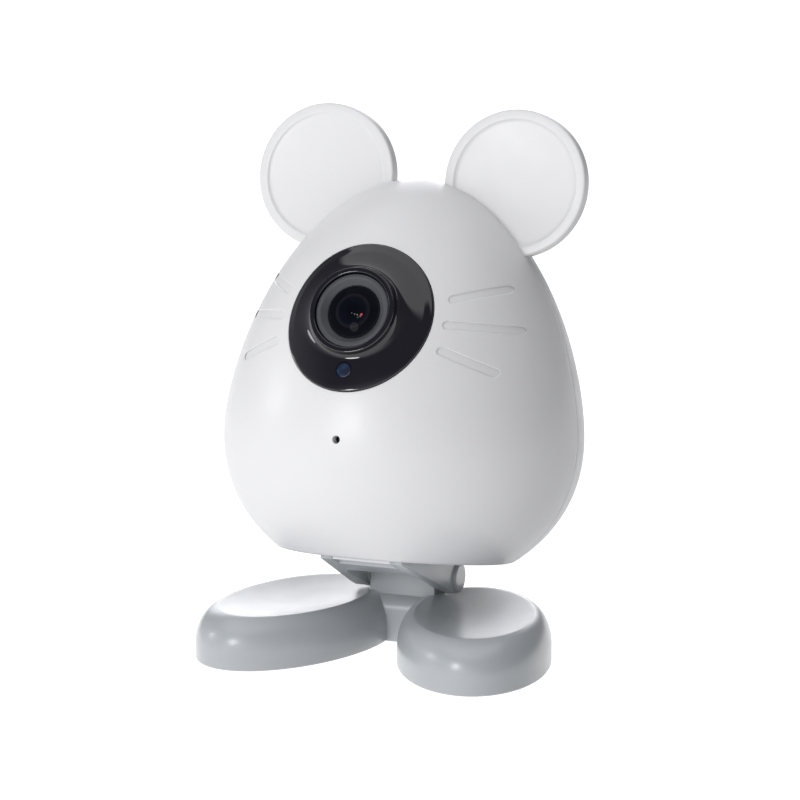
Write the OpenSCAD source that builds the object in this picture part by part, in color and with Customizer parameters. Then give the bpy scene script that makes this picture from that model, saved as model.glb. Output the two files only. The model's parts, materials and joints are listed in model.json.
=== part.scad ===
// Pet camera: an egg-shaped head with two dished ears, tilting on a stand with two oval feet.
// Millimetres. The front faces -Y, +Z is up, the floor is Z = 0 and X = 0 is the plane of symmetry.
// Head pieces are drawn upright about the centre of the head's widest ring, then leaned back on the hinge.

/* [Head] */
// Widest diameter of the head
head_w = 82.4; // [78:0.1:88]
// Height of the dome above the widest ring
dome_h = 58.4; // [55:0.1:63]
// Depth that the bowl below the widest ring would have if it closed
bowl_h = 35.5; // [34:0.1:39]
// Distance from the widest ring down to the flat underside
under_h = 27.6; // [26.4:0.1:29]
// Curve of the dome, where 2 is an ellipse and less is more pointed
dome_power = 1.65; // [1.55:0.05:1.9]
// Curve of the bowl, where 2 is an ellipse
bowl_power = 2.15; // [2:0.05:2.3]
// Edge radius between the bowl and the underside
under_round = 3; // [1:0.1:4]
// Wall thickness of both shells
wall = 2.2; // [1.8:0.1:2.6]
// Distance of the seam between the shells behind the head's axis
seam_back = 1.25; // [0.5:0.05:2]
// Width of the shadow gap along the seam
seam_gap = 0.3; // [0.2:0.05:0.5]
// Thickness of the rear shell's lip inside the seam
lip_t = 1; // [0.8:0.1:1.4]
// Reach of that lip past the seam, on both sides
lip_l = 2; // [1.5:0.1:3]

/* [Ears] */
// Diameter of an ear
ear_d = 33.4; // [28:0.1:38]
// Distance between the centres of the ears
ear_spread = 46; // [42:0.1:50]
// Height of the ears' centres above the widest ring
ear_up = 58.3; // [55:0.1:62]
// Thickness of an ear at its rim
ear_t = 3.3; // [2.8:0.1:4]
// Width of the flat rim round the dish
ear_rim = 2.1; // [1.5:0.1:3]
// Depth of the dish
ear_dish = 1; // [0.5:0.1:1.4]
// Rounding of the rim's outer edge
ear_edge = 0.5; // [0.3:0.1:0.8]

/* [Whiskers] */
// Width of a whisker groove
whisker_w = 2.1; // [1.6:0.1:2.6]
// Depth of a whisker groove
whisker_depth = 0.35; // [0.2:0.05:0.6]
// Distance of the grooves' inner ends from the plane of symmetry
whisker_x = 18.7; // [18.2:0.1:20]
// Height of the middle groove above the widest ring
whisker_up = 25; // [22:0.1:28]
// Height between the inner ends of neighbouring grooves
whisker_pitch = 5.4; // [4.5:0.1:6.5]
// Angle between neighbouring grooves
whisker_fan = 21.4; // [12:0.1:26]
// Length of the lower grooves
whisker_low_l = 12.4; // [9:0.1:15]
// Length of the middle grooves
whisker_mid_l = 13.9; // [10:0.1:16]
// Length of the upper grooves
whisker_top_l = 10.6; // [8:0.1:13]

/* [Window] */
// Diameter of the black window
window_d = 33.2; // [32:0.1:34]
// Height at which the window's axis crosses the head's axis
window_up = 24; // [23:0.1:25]
// Upward tilt of the window's axis
window_tilt = 2.5; // [0:0.1:5]
// Height of the window's face above the shell
window_proud = 0.35; // [0.2:0.05:0.5]
// Width of the window's flange behind the shell
window_lip = 2; // [1.5:0.1:2.5]
// Thickness of that flange
window_lip_t = 1.2; // [1:0.1:1.6]

/* [Lens] */
// Height at which the lens axis crosses the head's axis
lens_up = 16.7; // [15.7:0.1:17.7]
// Upward tilt of the lens axis in the head
lens_tilt = 15.3; // [13:0.1:17]
// Diameter of the barrel's matte front ring
barrel_d = 16.8; // [16:0.1:17.6]
// Diameter of the barrel's threaded rear part
thread_d = 12; // [11:0.1:13]
// Diameter of the barrel's rear bore
bore_d = 7.8; // [7.4:0.1:8.4]
// Diameter of the front glass
glass_d = 11.9; // [11:0.1:12.6]
// Height of the front glass's crown above its edge
glass_crown = 1.3; // [0.8:0.1:1.8]
// Depth of the front glass's edge behind the barrel's tip
glass_set = 1.2; // [0.9:0.1:1.5]
// Length of the front glass's edge
glass_edge = 2.2; // [1.6:0.1:2.8]
// Height of the barrel's tip above the shell
barrel_out = 1.9; // [1.4:0.1:2.2]
// Height of the collar's rim above the shell
collar_h = 2.4; // [2:0.1:2.8]
// Width of the collar's rim
collar_rim = 1.2; // [0.9:0.1:1.5]
// Radius of the collar's flare
collar_flare = 6.2; // [5.6:0.1:6.6]
// Depth of the barrel's wide part behind the shell
barrel_in = 8; // [7:0.1:9]

/* [Night lamps] */
// Diameter of a lamp
lamp_d = 3; // [2.4:0.1:3.2]
// Height of a lamp's straight side
lamp_h = 1.4; // [1:0.1:1.8]
// Number of lamps round the lens
lamp_count = 6; // [3:3:6]
// Radius of the ring of lamps
lamp_ring = 12.5; // [12.3:0.1:12.8]
// Depth of the lamp board's face behind the shell
lamp_drop = 10.4; // [10:0.1:11]
// Width of the ring-shaped lamp board
lamp_board_w = 4.6; // [4.2:0.1:5]
// Diameter of the posts between the window and the lamp board
lamp_post_d = 2.4; // [2:0.1:2.8]

/* [Indicator] */
// Diameter of the tinted window below the lens
indicator_d = 3.5; // [3:0.1:4]
// Distance of the tinted window below the lens axis
indicator_drop = 13.2; // [13:0.1:13.4]

/* [Boards] */
// Thickness of the circuit boards
board_t = 1.6; // [1.2:0.1:2]
// Width of the main board
main_w = 36; // [34:0.1:38]
// Height of the main board
main_h = 48; // [46:0.1:49]
// Distance of the main board's face from the head's axis, along the lens axis
main_out = 13; // [12:0.1:14]
// Distance of the screws from the main board's edges
main_inset = 3.2; // [2.9:0.1:4]
// Diameter of the posts that carry the boards
post_d = 5; // [4.6:0.1:5.4]
// Width and height of the shield can on the main board
can_w = 16; // [12:0.1:20]
// Depth of the shield can
can_t = 2.2; // [1.6:0.1:3]
// Length of the antenna strip on the main board
antenna_l = 26; // [22:0.1:28]
// Width of the antenna strip
antenna_w = 6; // [5:0.1:7]
// Thickness of the antenna strip and of the flat cable
strip_t = 0.4; // [0.3:0.05:0.5]
// Width of the flat cable
cable_w = 12; // [9:0.1:14]

/* [Sensor and filter] */
// Width of the image sensor
sensor_w = 8; // [7:0.1:8.6]
// Thickness of the image sensor
sensor_t = 1.2; // [0.9:0.1:1.6]
// Width of the lens holder
holder_w = 24; // [23.4:0.1:26]
// Depth of the lens holder's base, across its width
holder_d = 14; // [13:0.1:15]
// Height of the lens holder's base
holder_h = 5.6; // [5.4:0.1:6]
// Height of the lens holder's threaded tower above its base
tower_h = 4.6; // [3.5:0.1:5.5]
// Wall of the threaded tower
tower_wall = 2; // [1.5:0.1:2.5]
// Length of the filter slider
slider_l = 14; // [13.6:0.1:14.4]
// Width of the filter slider
slider_w = 9; // [8.4:0.1:9.4]
// Thickness of the filter slider
slider_t = 1.3; // [1:0.1:1.4]
// Travel of the filter slider between day and night
slider_travel = 6.5; // [6.2:0.1:6.7]
// Diameter of each filter glass
filter_d = 5.8; // [5:0.1:6]
// Diameter of the filter actuator's coil
coil_d = 3.8; // [3:0.1:4.2]
// Length of the filter actuator
coil_l = 12; // [9:0.1:16]

/* [Microphone] */
// Height of the microphone above the widest ring
mic_up = -1.3; // [-4:0.1:1]
// Diameter of the hole in front of the microphone
mic_hole = 1.7; // [1.2:0.1:2.2]
// Diameter of the microphone capsule
mic_d = 4.7; // [4:0.1:6]
// Thickness of the microphone capsule
mic_t = 2; // [1.5:0.1:2.5]
// Wall of the rubber boot round the microphone
boot_wall = 1.2; // [0.9:0.1:1.6]

/* [Speaker] */
// Diameter of the speaker
speaker_d = 27; // [24:0.1:28]
// Height of the speaker's centre above the widest ring
speaker_up = 15; // [13:0.1:17]
// Distance of the speaker's seat behind the head's axis
speaker_back = 28; // [26:0.1:29]
// Width of the speaker's rim
speaker_rim = 2.4; // [2:0.1:3]
// Depth of the speaker's basket
basket_h = 4.6; // [4:0.1:6]
// Thickness of the basket's back
basket_t = 1; // [0.8:0.1:1.2]
// Diameter of the speaker's magnet
magnet_d = 16; // [12:0.1:18]
// Depth of the magnet
magnet_h = 5.5; // [4:0.1:7]
// Diameter of a hole in the speaker grille
grille_hole = 1.7; // [1.2:0.1:2]
// Distance between the rings of grille holes
grille_pitch = 3.2; // [2.8:0.1:3.6]
// Number of rings of grille holes round the middle hole
grille_rings = 3; // [1:1:3]

/* [Ports] */
// Height of the port board's upper face above the widest ring
port_up = -13; // [-14:0.1:-12.5]
// Width of the port board
port_board_w = 36; // [35:0.1:37]
// Front edge of the port board behind the head's axis
port_board_front = 10; // [8:0.1:11]
// Rear edge of the port board behind the head's axis
port_board_back = 28; // [27.6:0.1:28.4]
// Sideways place of the port board's front screws
port_screw_x = 14; // [13:0.1:14.6]
// Distance of those screws from the board's front edge
port_screw_inset = 3; // [2.9:0.1:4]
// Sideways place of the port board's rear screw
port_rear_x = 0.6; // [0:0.1:1]
// Distance of that screw from the board's rear edge
port_rear_inset = 4; // [3:0.1:5]
// Distance of the flat port recess behind the head's axis
recess_back = 35; // [34.8:0.1:35.4]
// Width of the port recess
recess_w = 37; // [36.4:0.1:38]
// Height of the port recess
recess_h = 10.5; // [9.5:0.1:11]
// Corner radius of the port recess
recess_round = 2.5; // [1.5:0.1:3.5]
// Width of the power socket
usb_w = 8.9; // [8.6:0.1:9.2]
// Height of the power socket
usb_h = 3.2; // [3:0.1:3.4]
// Depth of the power socket
usb_l = 9; // [8:0.1:10]
// Width of the tongue in the power socket
tongue_w = 6.5; // [6:0.1:7]
// Place of the power socket to the side of the middle
usb_x = 8.6; // [8.2:0.1:9]
// Width of the memory card socket
card_w = 13; // [12.4:0.1:13.4]
// Height of the memory card socket
card_h = 1.8; // [1.6:0.1:2.2]
// Width of the card slot in the rear shell
card_slot_w = 12; // [11.4:0.1:12.2]
// Depth of the memory card socket
card_l = 14; // [12:0.1:15]
// Place of the memory card socket to the side of the middle
card_x = -9.5; // [-9.8:0.1:-9]
// Diameter of the reset button
button_d = 2.8; // [2.4:0.1:3]
// Travel of the reset button
button_travel = 0.4; // [0.3:0.05:0.5]
// Place of the reset button to the side of the middle
button_x = 15.9; // [15.7:0.1:16.1]
// Width of the switch behind the reset button
switch_w = 3.4; // [3:0.1:3.8]

/* [Fasteners] */
// Diameter of the screws
screw_d = 2.2; // [1.8:0.1:2.4]
// Diameter of the screw heads
head_d = 4; // [3.6:0.1:4.2]
// Height of the screw heads
head_h = 1.4; // [1.1:0.1:1.6]
// Length of the shell screws
shell_screw_l = 12; // [10:0.1:14]
// Length of the board screws
board_screw_l = 6; // [5:0.1:7]
// Diameter of the shell posts
shell_post_d = 7; // [6.6:0.1:7.4]
// Depth of the plastic under a shell screw's head
shell_seat = 4; // [3:0.1:5]
// Sideways place of the upper shell screws
upper_screw_x = 25.5; // [24.5:0.1:26.5]
// Height of the upper shell screws above the widest ring
upper_screw_up = 24; // [23:0.1:25]
// Sideways place of the lower shell screws
lower_screw_x = 25; // [24.5:0.1:25.5]
// Height of the lower shell screws above the widest ring
lower_screw_up = -17; // [-17.5:0.1:-16]

/* [Hinge] */
// Backward lean of the head at rest
rest_tilt = 10.9; // [4:0.1:18]
// Distance of the hinge behind the head's axis
hinge_back = 8.2; // [6:0.1:10]
// Distance of the hinge below the head's underside
hinge_drop = 4.5; // [4.2:0.1:5]
// Place of the hinge behind the middle of the stand
hinge_y = 2; // [0:0.1:3]
// Height of the hinge above the floor
hinge_z = 15.5; // [15.5:0.1:16.5]
// Diameter of the hinge pin
pin_d = 3; // [2.4:0.1:3.4]
// Running clearance of the pin in the knuckle
pin_play = 0.05; // [0.02:0.01:0.08]
// Diameter of the stand's knuckle
knuckle_d = 6.8; // [6.2:0.1:6.9]
// Width of the stand's knuckle
knuckle_w = 16; // [13:0.1:17]
// Diameter of the bracket's lugs
lug_d = 7.4; // [6.8:0.1:7.4]
// Thickness of a lug
lug_t = 3.6; // [3:0.1:4]
// Thickness of a friction washer
washer_t = 0.4; // [0.3:0.05:0.6]
// Thickness of the caps on the lugs' ends
cap_t = 0.8; // [0.6:0.1:1]
// Distance of the bracket's front edge ahead of the head's axis
bracket_front = 21.7; // [20:0.1:22.5]
// Width of the bracket's front edge
bracket_front_w = 19.4; // [17:0.1:22]
// Thickness of the bracket's front edge
bracket_edge = 0.8; // [0.6:0.1:1]
// Distance of the knuckle's pocket ahead of the hinge
pocket_ahead = 6.2; // [5.6:0.1:7]
// Corner radius of the knuckle's pocket
pocket_round = 3; // [2:0.1:4]
// Distance of the pocket's shallow front part ahead of the hinge
mouth_ahead = 18.2; // [16:0.1:20]
// Thickness of the bracket above that part
mouth_roof = 2.6; // [2.5:0.1:3]
// Width of the locating tab under the shell
tab_w = 13.8; // [11:0.1:15]
// Length of the locating tab
tab_l = 4.4; // [3.5:0.1:5]
// Sideways place of the bracket's screws
bracket_screw_x = 6.5; // [6:0.1:7]
// Distance of the bracket's screws ahead of the head's axis
bracket_screw_ahead = 6; // [5.6:0.1:7]
// Grip of the bracket's screws in the bracket
bracket_grip = 2.2; // [1.8:0.1:2.3]

/* [Stand] */
// Length of a foot
foot_l = 58; // [54:0.1:64]
// Width of a foot
foot_w = 34.8; // [33:0.1:37]
// Height of a foot's rim above the floor
foot_h = 11.8; // [11.4:0.1:12]
// Radius of a foot's upper edge at its toe
foot_round = 7.5; // [6:0.1:8]
// Depth of the dish in a foot's top
foot_dish = 1.6; // [1:0.1:1.8]
// Turn of the rounded upper edge at which the dish begins
foot_crease = 8; // [4:0.5:14]
// Distance between the centres of the feet
foot_spread = 43.2; // [42:0.1:45]
// Distance of the feet's centres ahead of the middle
foot_ahead = 12; // [10:0.1:14]
// Angle by which the toes turn outward
foot_splay = 17.8; // [12:0.1:22]
// Wall of the feet
foot_wall = 2.4; // [2:0.1:2.8]
// Height of the bridge between the feet
bridge_h = 11.3; // [10:0.1:11.3]
// Width of the bridge
bridge_w = 20; // [18:0.1:22]
// Distance of the bridge's front face ahead of the middle
bridge_front = 4; // [3:0.1:6]
// Distance of the bridge's rear face behind the middle
bridge_back = 9; // [7:0.1:11]
// Edge radius along the bridge's top
bridge_round = 4; // [2:0.1:4.2]
// Thickness of the sole plate
sole_t = 1.8; // [1.6:0.1:2.2]
// Height of the rubber pads below the sole
pad_proud = 0.5; // [0.3:0.1:0.8]
// Depth of the pads' recesses in the sole
pad_sink = 0.8; // [0.5:0.1:1]
// Diameter of the rubber pads
pad_d = 9; // [7:0.1:10]
// Distance of the front pads ahead of a foot's centre
pad_ahead = 18; // [16:0.1:19.5]
// Distance of the rear pads behind a foot's centre
pad_behind = 19; // [17:0.1:19.5]
// Distance of the front sole screws ahead of a foot's centre
sole_screw_ahead = 7; // [5:0.1:9]
// Distance of the rear sole screws behind a foot's centre
sole_screw_behind = 8; // [6:0.1:9]
// Grip of the sole screws in the foot
sole_grip = 4; // [3:0.1:4.5]
// Diameter of the screw bosses in the feet
boss_d = 5.4; // [5:0.1:6]

/* [Hidden] */
$fn = 96;
// Clearance between pieces that are fixed together
fit = 0.1;
// Clearance between pieces that move past each other
run = 0.3;
// Steps along the curves of the head, the flat cable and the feet
dome_steps = 22;
bowl_steps = 10;
round_steps = 4;
cable_steps = 14;
foot_steps = 8;
// Height over which the bowl's slope is taken at the underside
slope_step = 0.05;
// Smallest radius left where an edge radius runs out inside a wall
least_round = 0.3;
// Halvings in the search for the point where the lens axis leaves the head
exit_tries = 30;
// Length that reaches past everything
reach = 3 * head_w;

head_white = "#f3f3f5";
window_black = "#16161b";
stand_grey = "#a6adb0";
board_green = "#1f5b3a";
steel = "#b8bcc2";
dark_plastic = "#2b2c30";

seam_front = seam_back - seam_gap / 2;
seam_rear = seam_back + seam_gap / 2;
inner_floor = wall - under_h;
window_in = wall + fit + window_lip_t;
pilot_d = screw_d + fit;
lug_in = knuckle_w / 2 + run + washer_t + fit;
lug_out = lug_in + lug_t;
main_back = main_out - board_t;
main_screws = [for (x = [-1, 1], y = [-1, 1])
  [x * (main_w / 2 - main_inset), y * (main_h / 2 - main_inset)]];
shell_screws_at = [for (s = [-1, 1])
  each [[s * upper_screw_x, upper_screw_up], [s * lower_screw_x, lower_screw_up]]];
port_screws = concat(
  [for (s = [-1, 1]) [s * port_screw_x, port_board_front + port_screw_inset]],
  [[port_rear_x, port_board_back - port_rear_inset]]);
whisker_l = [whisker_low_l, whisker_mid_l, whisker_top_l];
pad_along = [-pad_ahead, pad_behind];
sole_screw_along = [-sole_screw_ahead, sole_screw_behind];

// Radius of the head at a height, for a surface set in from the outside
function egg_r(z, inset) =
  let (h = (z < 0 ? bowl_h : dome_h) - inset)
  let (power = z < 0 ? bowl_power : dome_power)
  (head_w / 2 - inset) * sqrt(max(0, 1 - pow(abs(z) / h, power)));

// Distance along the lens axis at which it leaves the head
function lens_exit(low, high, tries) =
  let (mid = (low + high) / 2)
  let (inside = mid * cos(lens_tilt) < egg_r(lens_up + mid * sin(lens_tilt), 0))
  tries == 0 ? mid : inside ? lens_exit(mid, high, tries - 1) : lens_exit(low, mid, tries - 1);

// Point on a cubic curve
function curve_at(p, t) =
  pow(1 - t, 3) * p[0] + 3 * t * pow(1 - t, 2) * p[1] + 3 * t * t * (1 - t) * p[2] + pow(t, 3) * p[3];

// Unit vector square to a cubic curve
function curve_side(p, t) =
  let (d = pow(1 - t, 2) * (p[1] - p[0]) + 2 * t * (1 - t) * (p[2] - p[1]) + t * t * (p[3] - p[2]))
  [-d.y, d.x] / norm(d);

lens_s = lens_exit(0, head_w, exit_tries);
tip_s = lens_s + barrel_out;
glass_seat = tip_s - glass_set - glass_edge;
barrel_back = main_out + holder_h + run;
lamp_s = lens_s - lamp_drop;
speaker_front = speaker_back - fit;

// Frames

module head_frame()
  translate([0, hinge_y, hinge_z])
    rotate([-rest_tilt, 0, 0])
      translate([0, -hinge_back, under_h + hinge_drop])
        children();

module lens_frame()
  head_frame()
    translate([0, 0, lens_up])
      rotate([90 - lens_tilt, 0, 0])
        children();

module window_axis()
  translate([0, 0, window_up])
    rotate([90 - window_tilt, 0, 0])
      children();

module lens_axis()
  translate([0, 0, lens_up])
    rotate([90 - lens_tilt, 0, 0])
      children();

module backward(x, z)
  translate([x, 0, z])
    rotate([-90, 0, 0])
      children();

module across()
  rotate([0, 90, 0])
    children();

module hinge_axis()
  translate([0, hinge_y, hinge_z])
    across()
      children();

module foot_frame(side)
  translate([side * foot_spread / 2, -foot_ahead, 0])
    rotate(side * foot_splay)
      children();

// Shapes used more than once

module egg(inset) {
  floor_z = inset - under_h;
  rim = egg_r(floor_z, inset);
  lean = atan2(slope_step, egg_r(floor_z + slope_step, inset) - rim);
  edge = max(least_round, under_round - inset);
  run_in = edge * tan(lean / 2);
  bowl_z = floor_z + run_in * sin(lean);
  rotate_extrude()
    polygon(concat(
      [[0, floor_z]],
      [for (k = [0 : round_steps]) let (a = lean * k / round_steps - 90)
        [rim - run_in + edge * cos(a), floor_z + edge + edge * sin(a)]],
      [for (k = [1 : bowl_steps]) let (z = bowl_z * (1 - k / bowl_steps)) [egg_r(z, inset), z]],
      [for (k = [1 : dome_steps]) let (z = (dome_h - inset) * sin(90 * k / dome_steps))
        [egg_r(z, inset), z]]));
}

module ahead_of(y)
  translate([-reach, y - reach, -reach])
    cube([2 * reach, reach, 2 * reach]);

module behind(y)
  translate([-reach, y, -reach])
    cube([2 * reach, reach, 2 * reach]);

module slab(from, to)
  translate([-reach, from, -reach])
    cube([2 * reach, to - from, 2 * reach]);

module ring(outer_d, inner_d, h)
  difference() {
    cylinder(d = outer_d, h = h);
    translate([0, 0, -h])
      cylinder(d = inner_d, h = 3 * h);
  }

module screw(length) {
  cylinder(d = screw_d, h = length);
  translate([0, 0, -head_h])
    cylinder(d = head_d, h = head_h);
}

module stadium(length, width) {
  square([length - width, width], center = true);
  for (s = [-1, 1])
    translate([s * (length - width) / 2, 0])
      circle(d = width);
}

module soft_rectangle(length, width, corner) {
  square([length - 2 * corner, width], center = true);
  square([length, width - 2 * corner], center = true);
  for (x = [-1, 1], y = [-1, 1])
    translate([x * (length / 2 - corner), y * (width / 2 - corner)])
      circle(corner);
}

// Head shells

module ear(side) {
  dish_r = (pow(ear_d / 2 - ear_rim, 2) + pow(ear_dish, 2)) / (2 * ear_dish);
  translate([side * ear_spread / 2, seam_front, ear_up])
    rotate([90, 0, 0])
      rotate_extrude()
        difference() {
          union() {
            square([ear_d / 2 - ear_edge, ear_t]);
            square([ear_d / 2, ear_t - ear_edge]);
            translate([ear_d / 2 - ear_edge, ear_t - ear_edge])
              circle(ear_edge);
          }
          translate([0, ear_t + dish_r - ear_dish])
            circle(dish_r);
        }
}

module whisker_grooves()
  difference() {
    for (s = [-1, 1], k = [-1 : 1])
      translate([s * whisker_x, 0, whisker_up + k * whisker_pitch])
        rotate([90, -s * k * whisker_fan, 0])
          linear_extrude(reach)
            translate([s * whisker_l[k + 1] / 2, 0])
              stadium(whisker_l[k + 1], whisker_w);
    egg(whisker_depth);
  }

module main_posts()
  lens_axis()
    for (p = main_screws)
      translate([p.x, p.y, main_out])
        difference() {
          cylinder(d = post_d, h = reach);
          translate([0, 0, -head_h])
            cylinder(d = pilot_d, h = board_screw_l + head_h);
        }

module front_posts()
  for (p = shell_screws_at)
    translate([p.x, seam_front, p.y])
      rotate([90, 0, 0])
        difference() {
          cylinder(d = shell_post_d, h = reach);
          translate([0, 0, -head_h])
            cylinder(d = pilot_d, h = shell_screw_l - shell_seat + head_h);
        }

mic_face = egg_r(mic_up, wall) - 4 * fit;
boot_d = mic_d + 2 * boot_wall;
boot_l = mic_t + boot_wall;

module mic_cup()
  translate([0, boot_l - mic_face, mic_up])
    rotate([90, 0, 0])
      ring(boot_d + 2 * fit + 2 * boot_wall, boot_d + 2 * fit, 3 * boot_l);

module locating_tab()
  translate([-tab_w / 2, fit - bracket_front, -under_h - bracket_edge])
    cube([tab_w, tab_l, bracket_edge + wall / 2]);

module front_shell()
  color(head_white)
    head_frame()
      difference() {
        union() {
          difference() {
            union() {
              intersection() {
                egg(0);
                ahead_of(seam_front);
              }
              for (s = [-1, 1])
                ear(s);
            }
            egg(wall);
          }
          intersection() {
            egg(wall / 2);
            union() {
              main_posts();
              front_posts();
              mic_cup();
            }
          }
          locating_tab();
        }
        window_axis()
          cylinder(d = window_d + 2 * fit, h = reach);
        whisker_grooves();
        translate([0, 0, mic_up])
          rotate([90, 0, 0])
            cylinder(d = mic_hole, h = reach);
        for (s = [-1, 1])
          translate([s * bracket_screw_x, -bracket_screw_ahead, -under_h - wall])
            cylinder(d = pilot_d, h = 3 * wall);
      }

module seam_lip() {
  intersection() {
    difference() {
      egg(wall + fit);
      egg(wall + fit + lip_t);
    }
    slab(seam_back - lip_l, seam_back + lip_l);
  }
  intersection() {
    difference() {
      egg(wall / 2);
      egg(wall + fit + lip_t);
    }
    slab(seam_rear, seam_back + lip_l);
  }
}

module rear_posts()
  for (p = shell_screws_at)
    backward(p.x, p.y)
      translate([0, 0, seam_rear])
        cylinder(d = shell_post_d, h = reach);

module screw_wells()
  for (p = shell_screws_at)
    backward(p.x, p.y) {
      translate([0, 0, seam_rear + shell_seat])
        cylinder(d = head_d + 4 * fit, h = reach);
      cylinder(d = pilot_d, h = reach);
    }

module speaker_cup()
  backward(0, speaker_up)
    translate([0, 0, speaker_back - speaker_rim])
      difference() {
        cylinder(d = speaker_d + 2 * fit + 2 * wall, h = reach);
        translate([0, 0, -speaker_rim])
          cylinder(d = speaker_d + 2 * fit, h = 2 * speaker_rim);
        cylinder(d = speaker_d - 2 * speaker_rim, h = reach);
      }

module grille()
  backward(0, speaker_up) {
    cylinder(d = grille_hole, h = reach);
    for (r = [1 : grille_rings], k = [1 : 6 * r])
      rotate(60 * k / r)
        translate([grille_pitch * r, 0, 0])
          cylinder(d = grille_hole, h = reach);
  }

recess_z = port_up + usb_h / 2;

module port_pad()
  translate([-recess_w / 2 - wall, recess_back - wall, recess_z - recess_h / 2 - wall])
    cube([recess_w + 2 * wall, reach, recess_h + 2 * wall]);

module port_cuts() {
  translate([0, recess_back, recess_z])
    rotate([-90, 0, 0])
      linear_extrude(reach)
        soft_rectangle(recess_w, recess_h, recess_round);
  backward(usb_x, recess_z)
    linear_extrude(reach)
      stadium(usb_w + 2 * run, usb_h + 2 * run);
  backward(card_x, port_up + card_h / 2)
    linear_extrude(reach)
      square([card_slot_w, card_h], center = true);
  backward(button_x, recess_z) {
    cylinder(d = button_d + 2 * run, h = reach);
    translate([0, 0, switch_back])
      cylinder(d = flange_d + 2 * run, h = recess_back - wall - fit - switch_back);
  }
}

module port_posts()
  for (p = port_screws)
    translate([p.x, p.y, -under_h])
      difference() {
        cylinder(d = post_d, h = under_h + port_up - board_t);
        translate([0, 0, under_h + port_up - board_screw_l])
          cylinder(d = pilot_d, h = reach);
      }

module rear_shell()
  color(head_white)
    head_frame()
      difference() {
        union() {
          difference() {
            intersection() {
              egg(0);
              behind(seam_rear);
            }
            egg(wall);
          }
          seam_lip();
          intersection() {
            egg(wall / 2);
            union() {
              rear_posts();
              speaker_cup();
              port_pad();
              port_posts();
            }
          }
        }
        screw_wells();
        grille();
        port_cuts();
      }

module shell_screws()
  color(steel)
    head_frame()
      for (p = shell_screws_at)
        translate([p.x, seam_rear + shell_seat, p.y])
          rotate([90, 0, 0])
            screw(shell_screw_l);

// Window, lens and lamps

collar_in = barrel_d / 2 + 1.5 * fit;
flare_r = collar_in + collar_rim + collar_flare;
collar_s = lens_s + collar_h;

module collar()
  rotate_extrude()
    difference() {
      translate([collar_in, lens_s - window_in])
        square([flare_r - collar_in, collar_h + window_in]);
      translate([flare_r, collar_s])
        circle(collar_flare);
    }

module lamp_posts()
  for (a = [90 : 120 : 330])
    rotate(a)
      translate([lamp_ring, 0, lamp_s])
        cylinder(d = lamp_post_d, h = lamp_drop - window_in);

module ir_window()
  color(window_black)
    head_frame()
      difference() {
        union() {
          intersection() {
            difference() {
              egg(-window_proud);
              egg(window_in);
            }
            window_axis()
              cylinder(d = window_d, h = reach);
          }
          intersection() {
            difference() {
              egg(wall + fit);
              egg(window_in);
            }
            window_axis()
              cylinder(d = window_d + 2 * window_lip, h = reach);
          }
          lens_axis() {
            collar();
            lamp_posts();
          }
        }
        lens_axis() {
          cylinder(r = collar_in, h = reach);
          translate([0, -indicator_drop, 0])
            cylinder(d = indicator_d + fit, h = reach);
        }
      }

module indicator_lens()
  color("#16305c")
    head_frame()
      intersection() {
        egg(-window_proud);
        lens_axis()
          translate([0, -indicator_drop, lamp_s + run])
            cylinder(d = indicator_d, h = reach);
      }

module lens_barrel()
  color(dark_plastic)
    lens_frame()
      rotate_extrude()
        polygon([
          [bore_d / 2, barrel_back],
          [thread_d / 2, barrel_back],
          [thread_d / 2, lens_s - barrel_in],
          [barrel_d / 2, lens_s - barrel_in],
          [barrel_d / 2, tip_s - ear_edge],
          [barrel_d / 2 - ear_edge, tip_s],
          [glass_d / 2 + fit, tip_s - glass_set],
          [glass_d / 2 + fit / 2, glass_seat],
          [glass_d / 2 - wall / 2, glass_seat],
          [glass_d / 2 - wall / 2, lens_s - barrel_in + wall],
          [bore_d / 2, lens_s - barrel_in]]);

module lens_front_glass() {
  crown_r = (pow(glass_d / 2, 2) + pow(glass_crown, 2)) / (2 * glass_crown);
  color("#10131c")
    lens_frame()
      rotate_extrude()
        intersection() {
          translate([0, glass_seat])
            square([glass_d / 2, glass_edge + glass_crown]);
          translate([0, glass_seat + glass_edge + glass_crown - crown_r])
            circle(crown_r);
        }
}

module lens_rear_glass()
  color("#2a3a4a")
    lens_frame()
      translate([0, 0, barrel_back + run])
        cylinder(d = bore_d - fit, h = glass_edge);

module lamp_places()
  for (k = [0 : lamp_count - 1])
    rotate(360 * k / lamp_count)
      translate([lamp_ring, 0, lamp_s])
        children();

module led_board()
  color(board_green)
    lens_frame()
      translate([0, 0, lamp_s - board_t])
        ring(2 * lamp_ring + lamp_board_w, 2 * lamp_ring - lamp_board_w, board_t);

module ir_leds()
  color("#3a3346")
    lens_frame()
      lamp_places() {
        cylinder(d = lamp_d, h = lamp_h);
        translate([0, 0, lamp_h])
          difference() {
            sphere(d = lamp_d);
            translate([-lamp_d, -lamp_d, -2 * lamp_d])
              cube(2 * lamp_d);
          }
      }

// Main board, sensor and filter

module main_board()
  color(board_green)
    lens_frame()
      difference() {
        translate([-main_w / 2, -main_h / 2, main_back])
          cube([main_w, main_h, board_t]);
        for (p = main_screws)
          translate([p.x, p.y, 0])
            cylinder(d = pilot_d, h = reach);
      }

module shield_can()
  color(steel)
    lens_frame()
      translate([-can_w / 2, -can_w / 2, main_back - can_t])
        cube([can_w, can_w, can_t]);

module main_board_screws()
  color(steel)
    lens_frame()
      for (p = main_screws)
        translate([p.x, p.y, main_back])
          screw(board_screw_l);

module wifi_antenna()
  color("#c98f3c")
    lens_frame()
      translate([-antenna_l / 2, can_w / 2 + fit, main_back - strip_t])
        cube([antenna_l, antenna_w, strip_t]);

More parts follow.
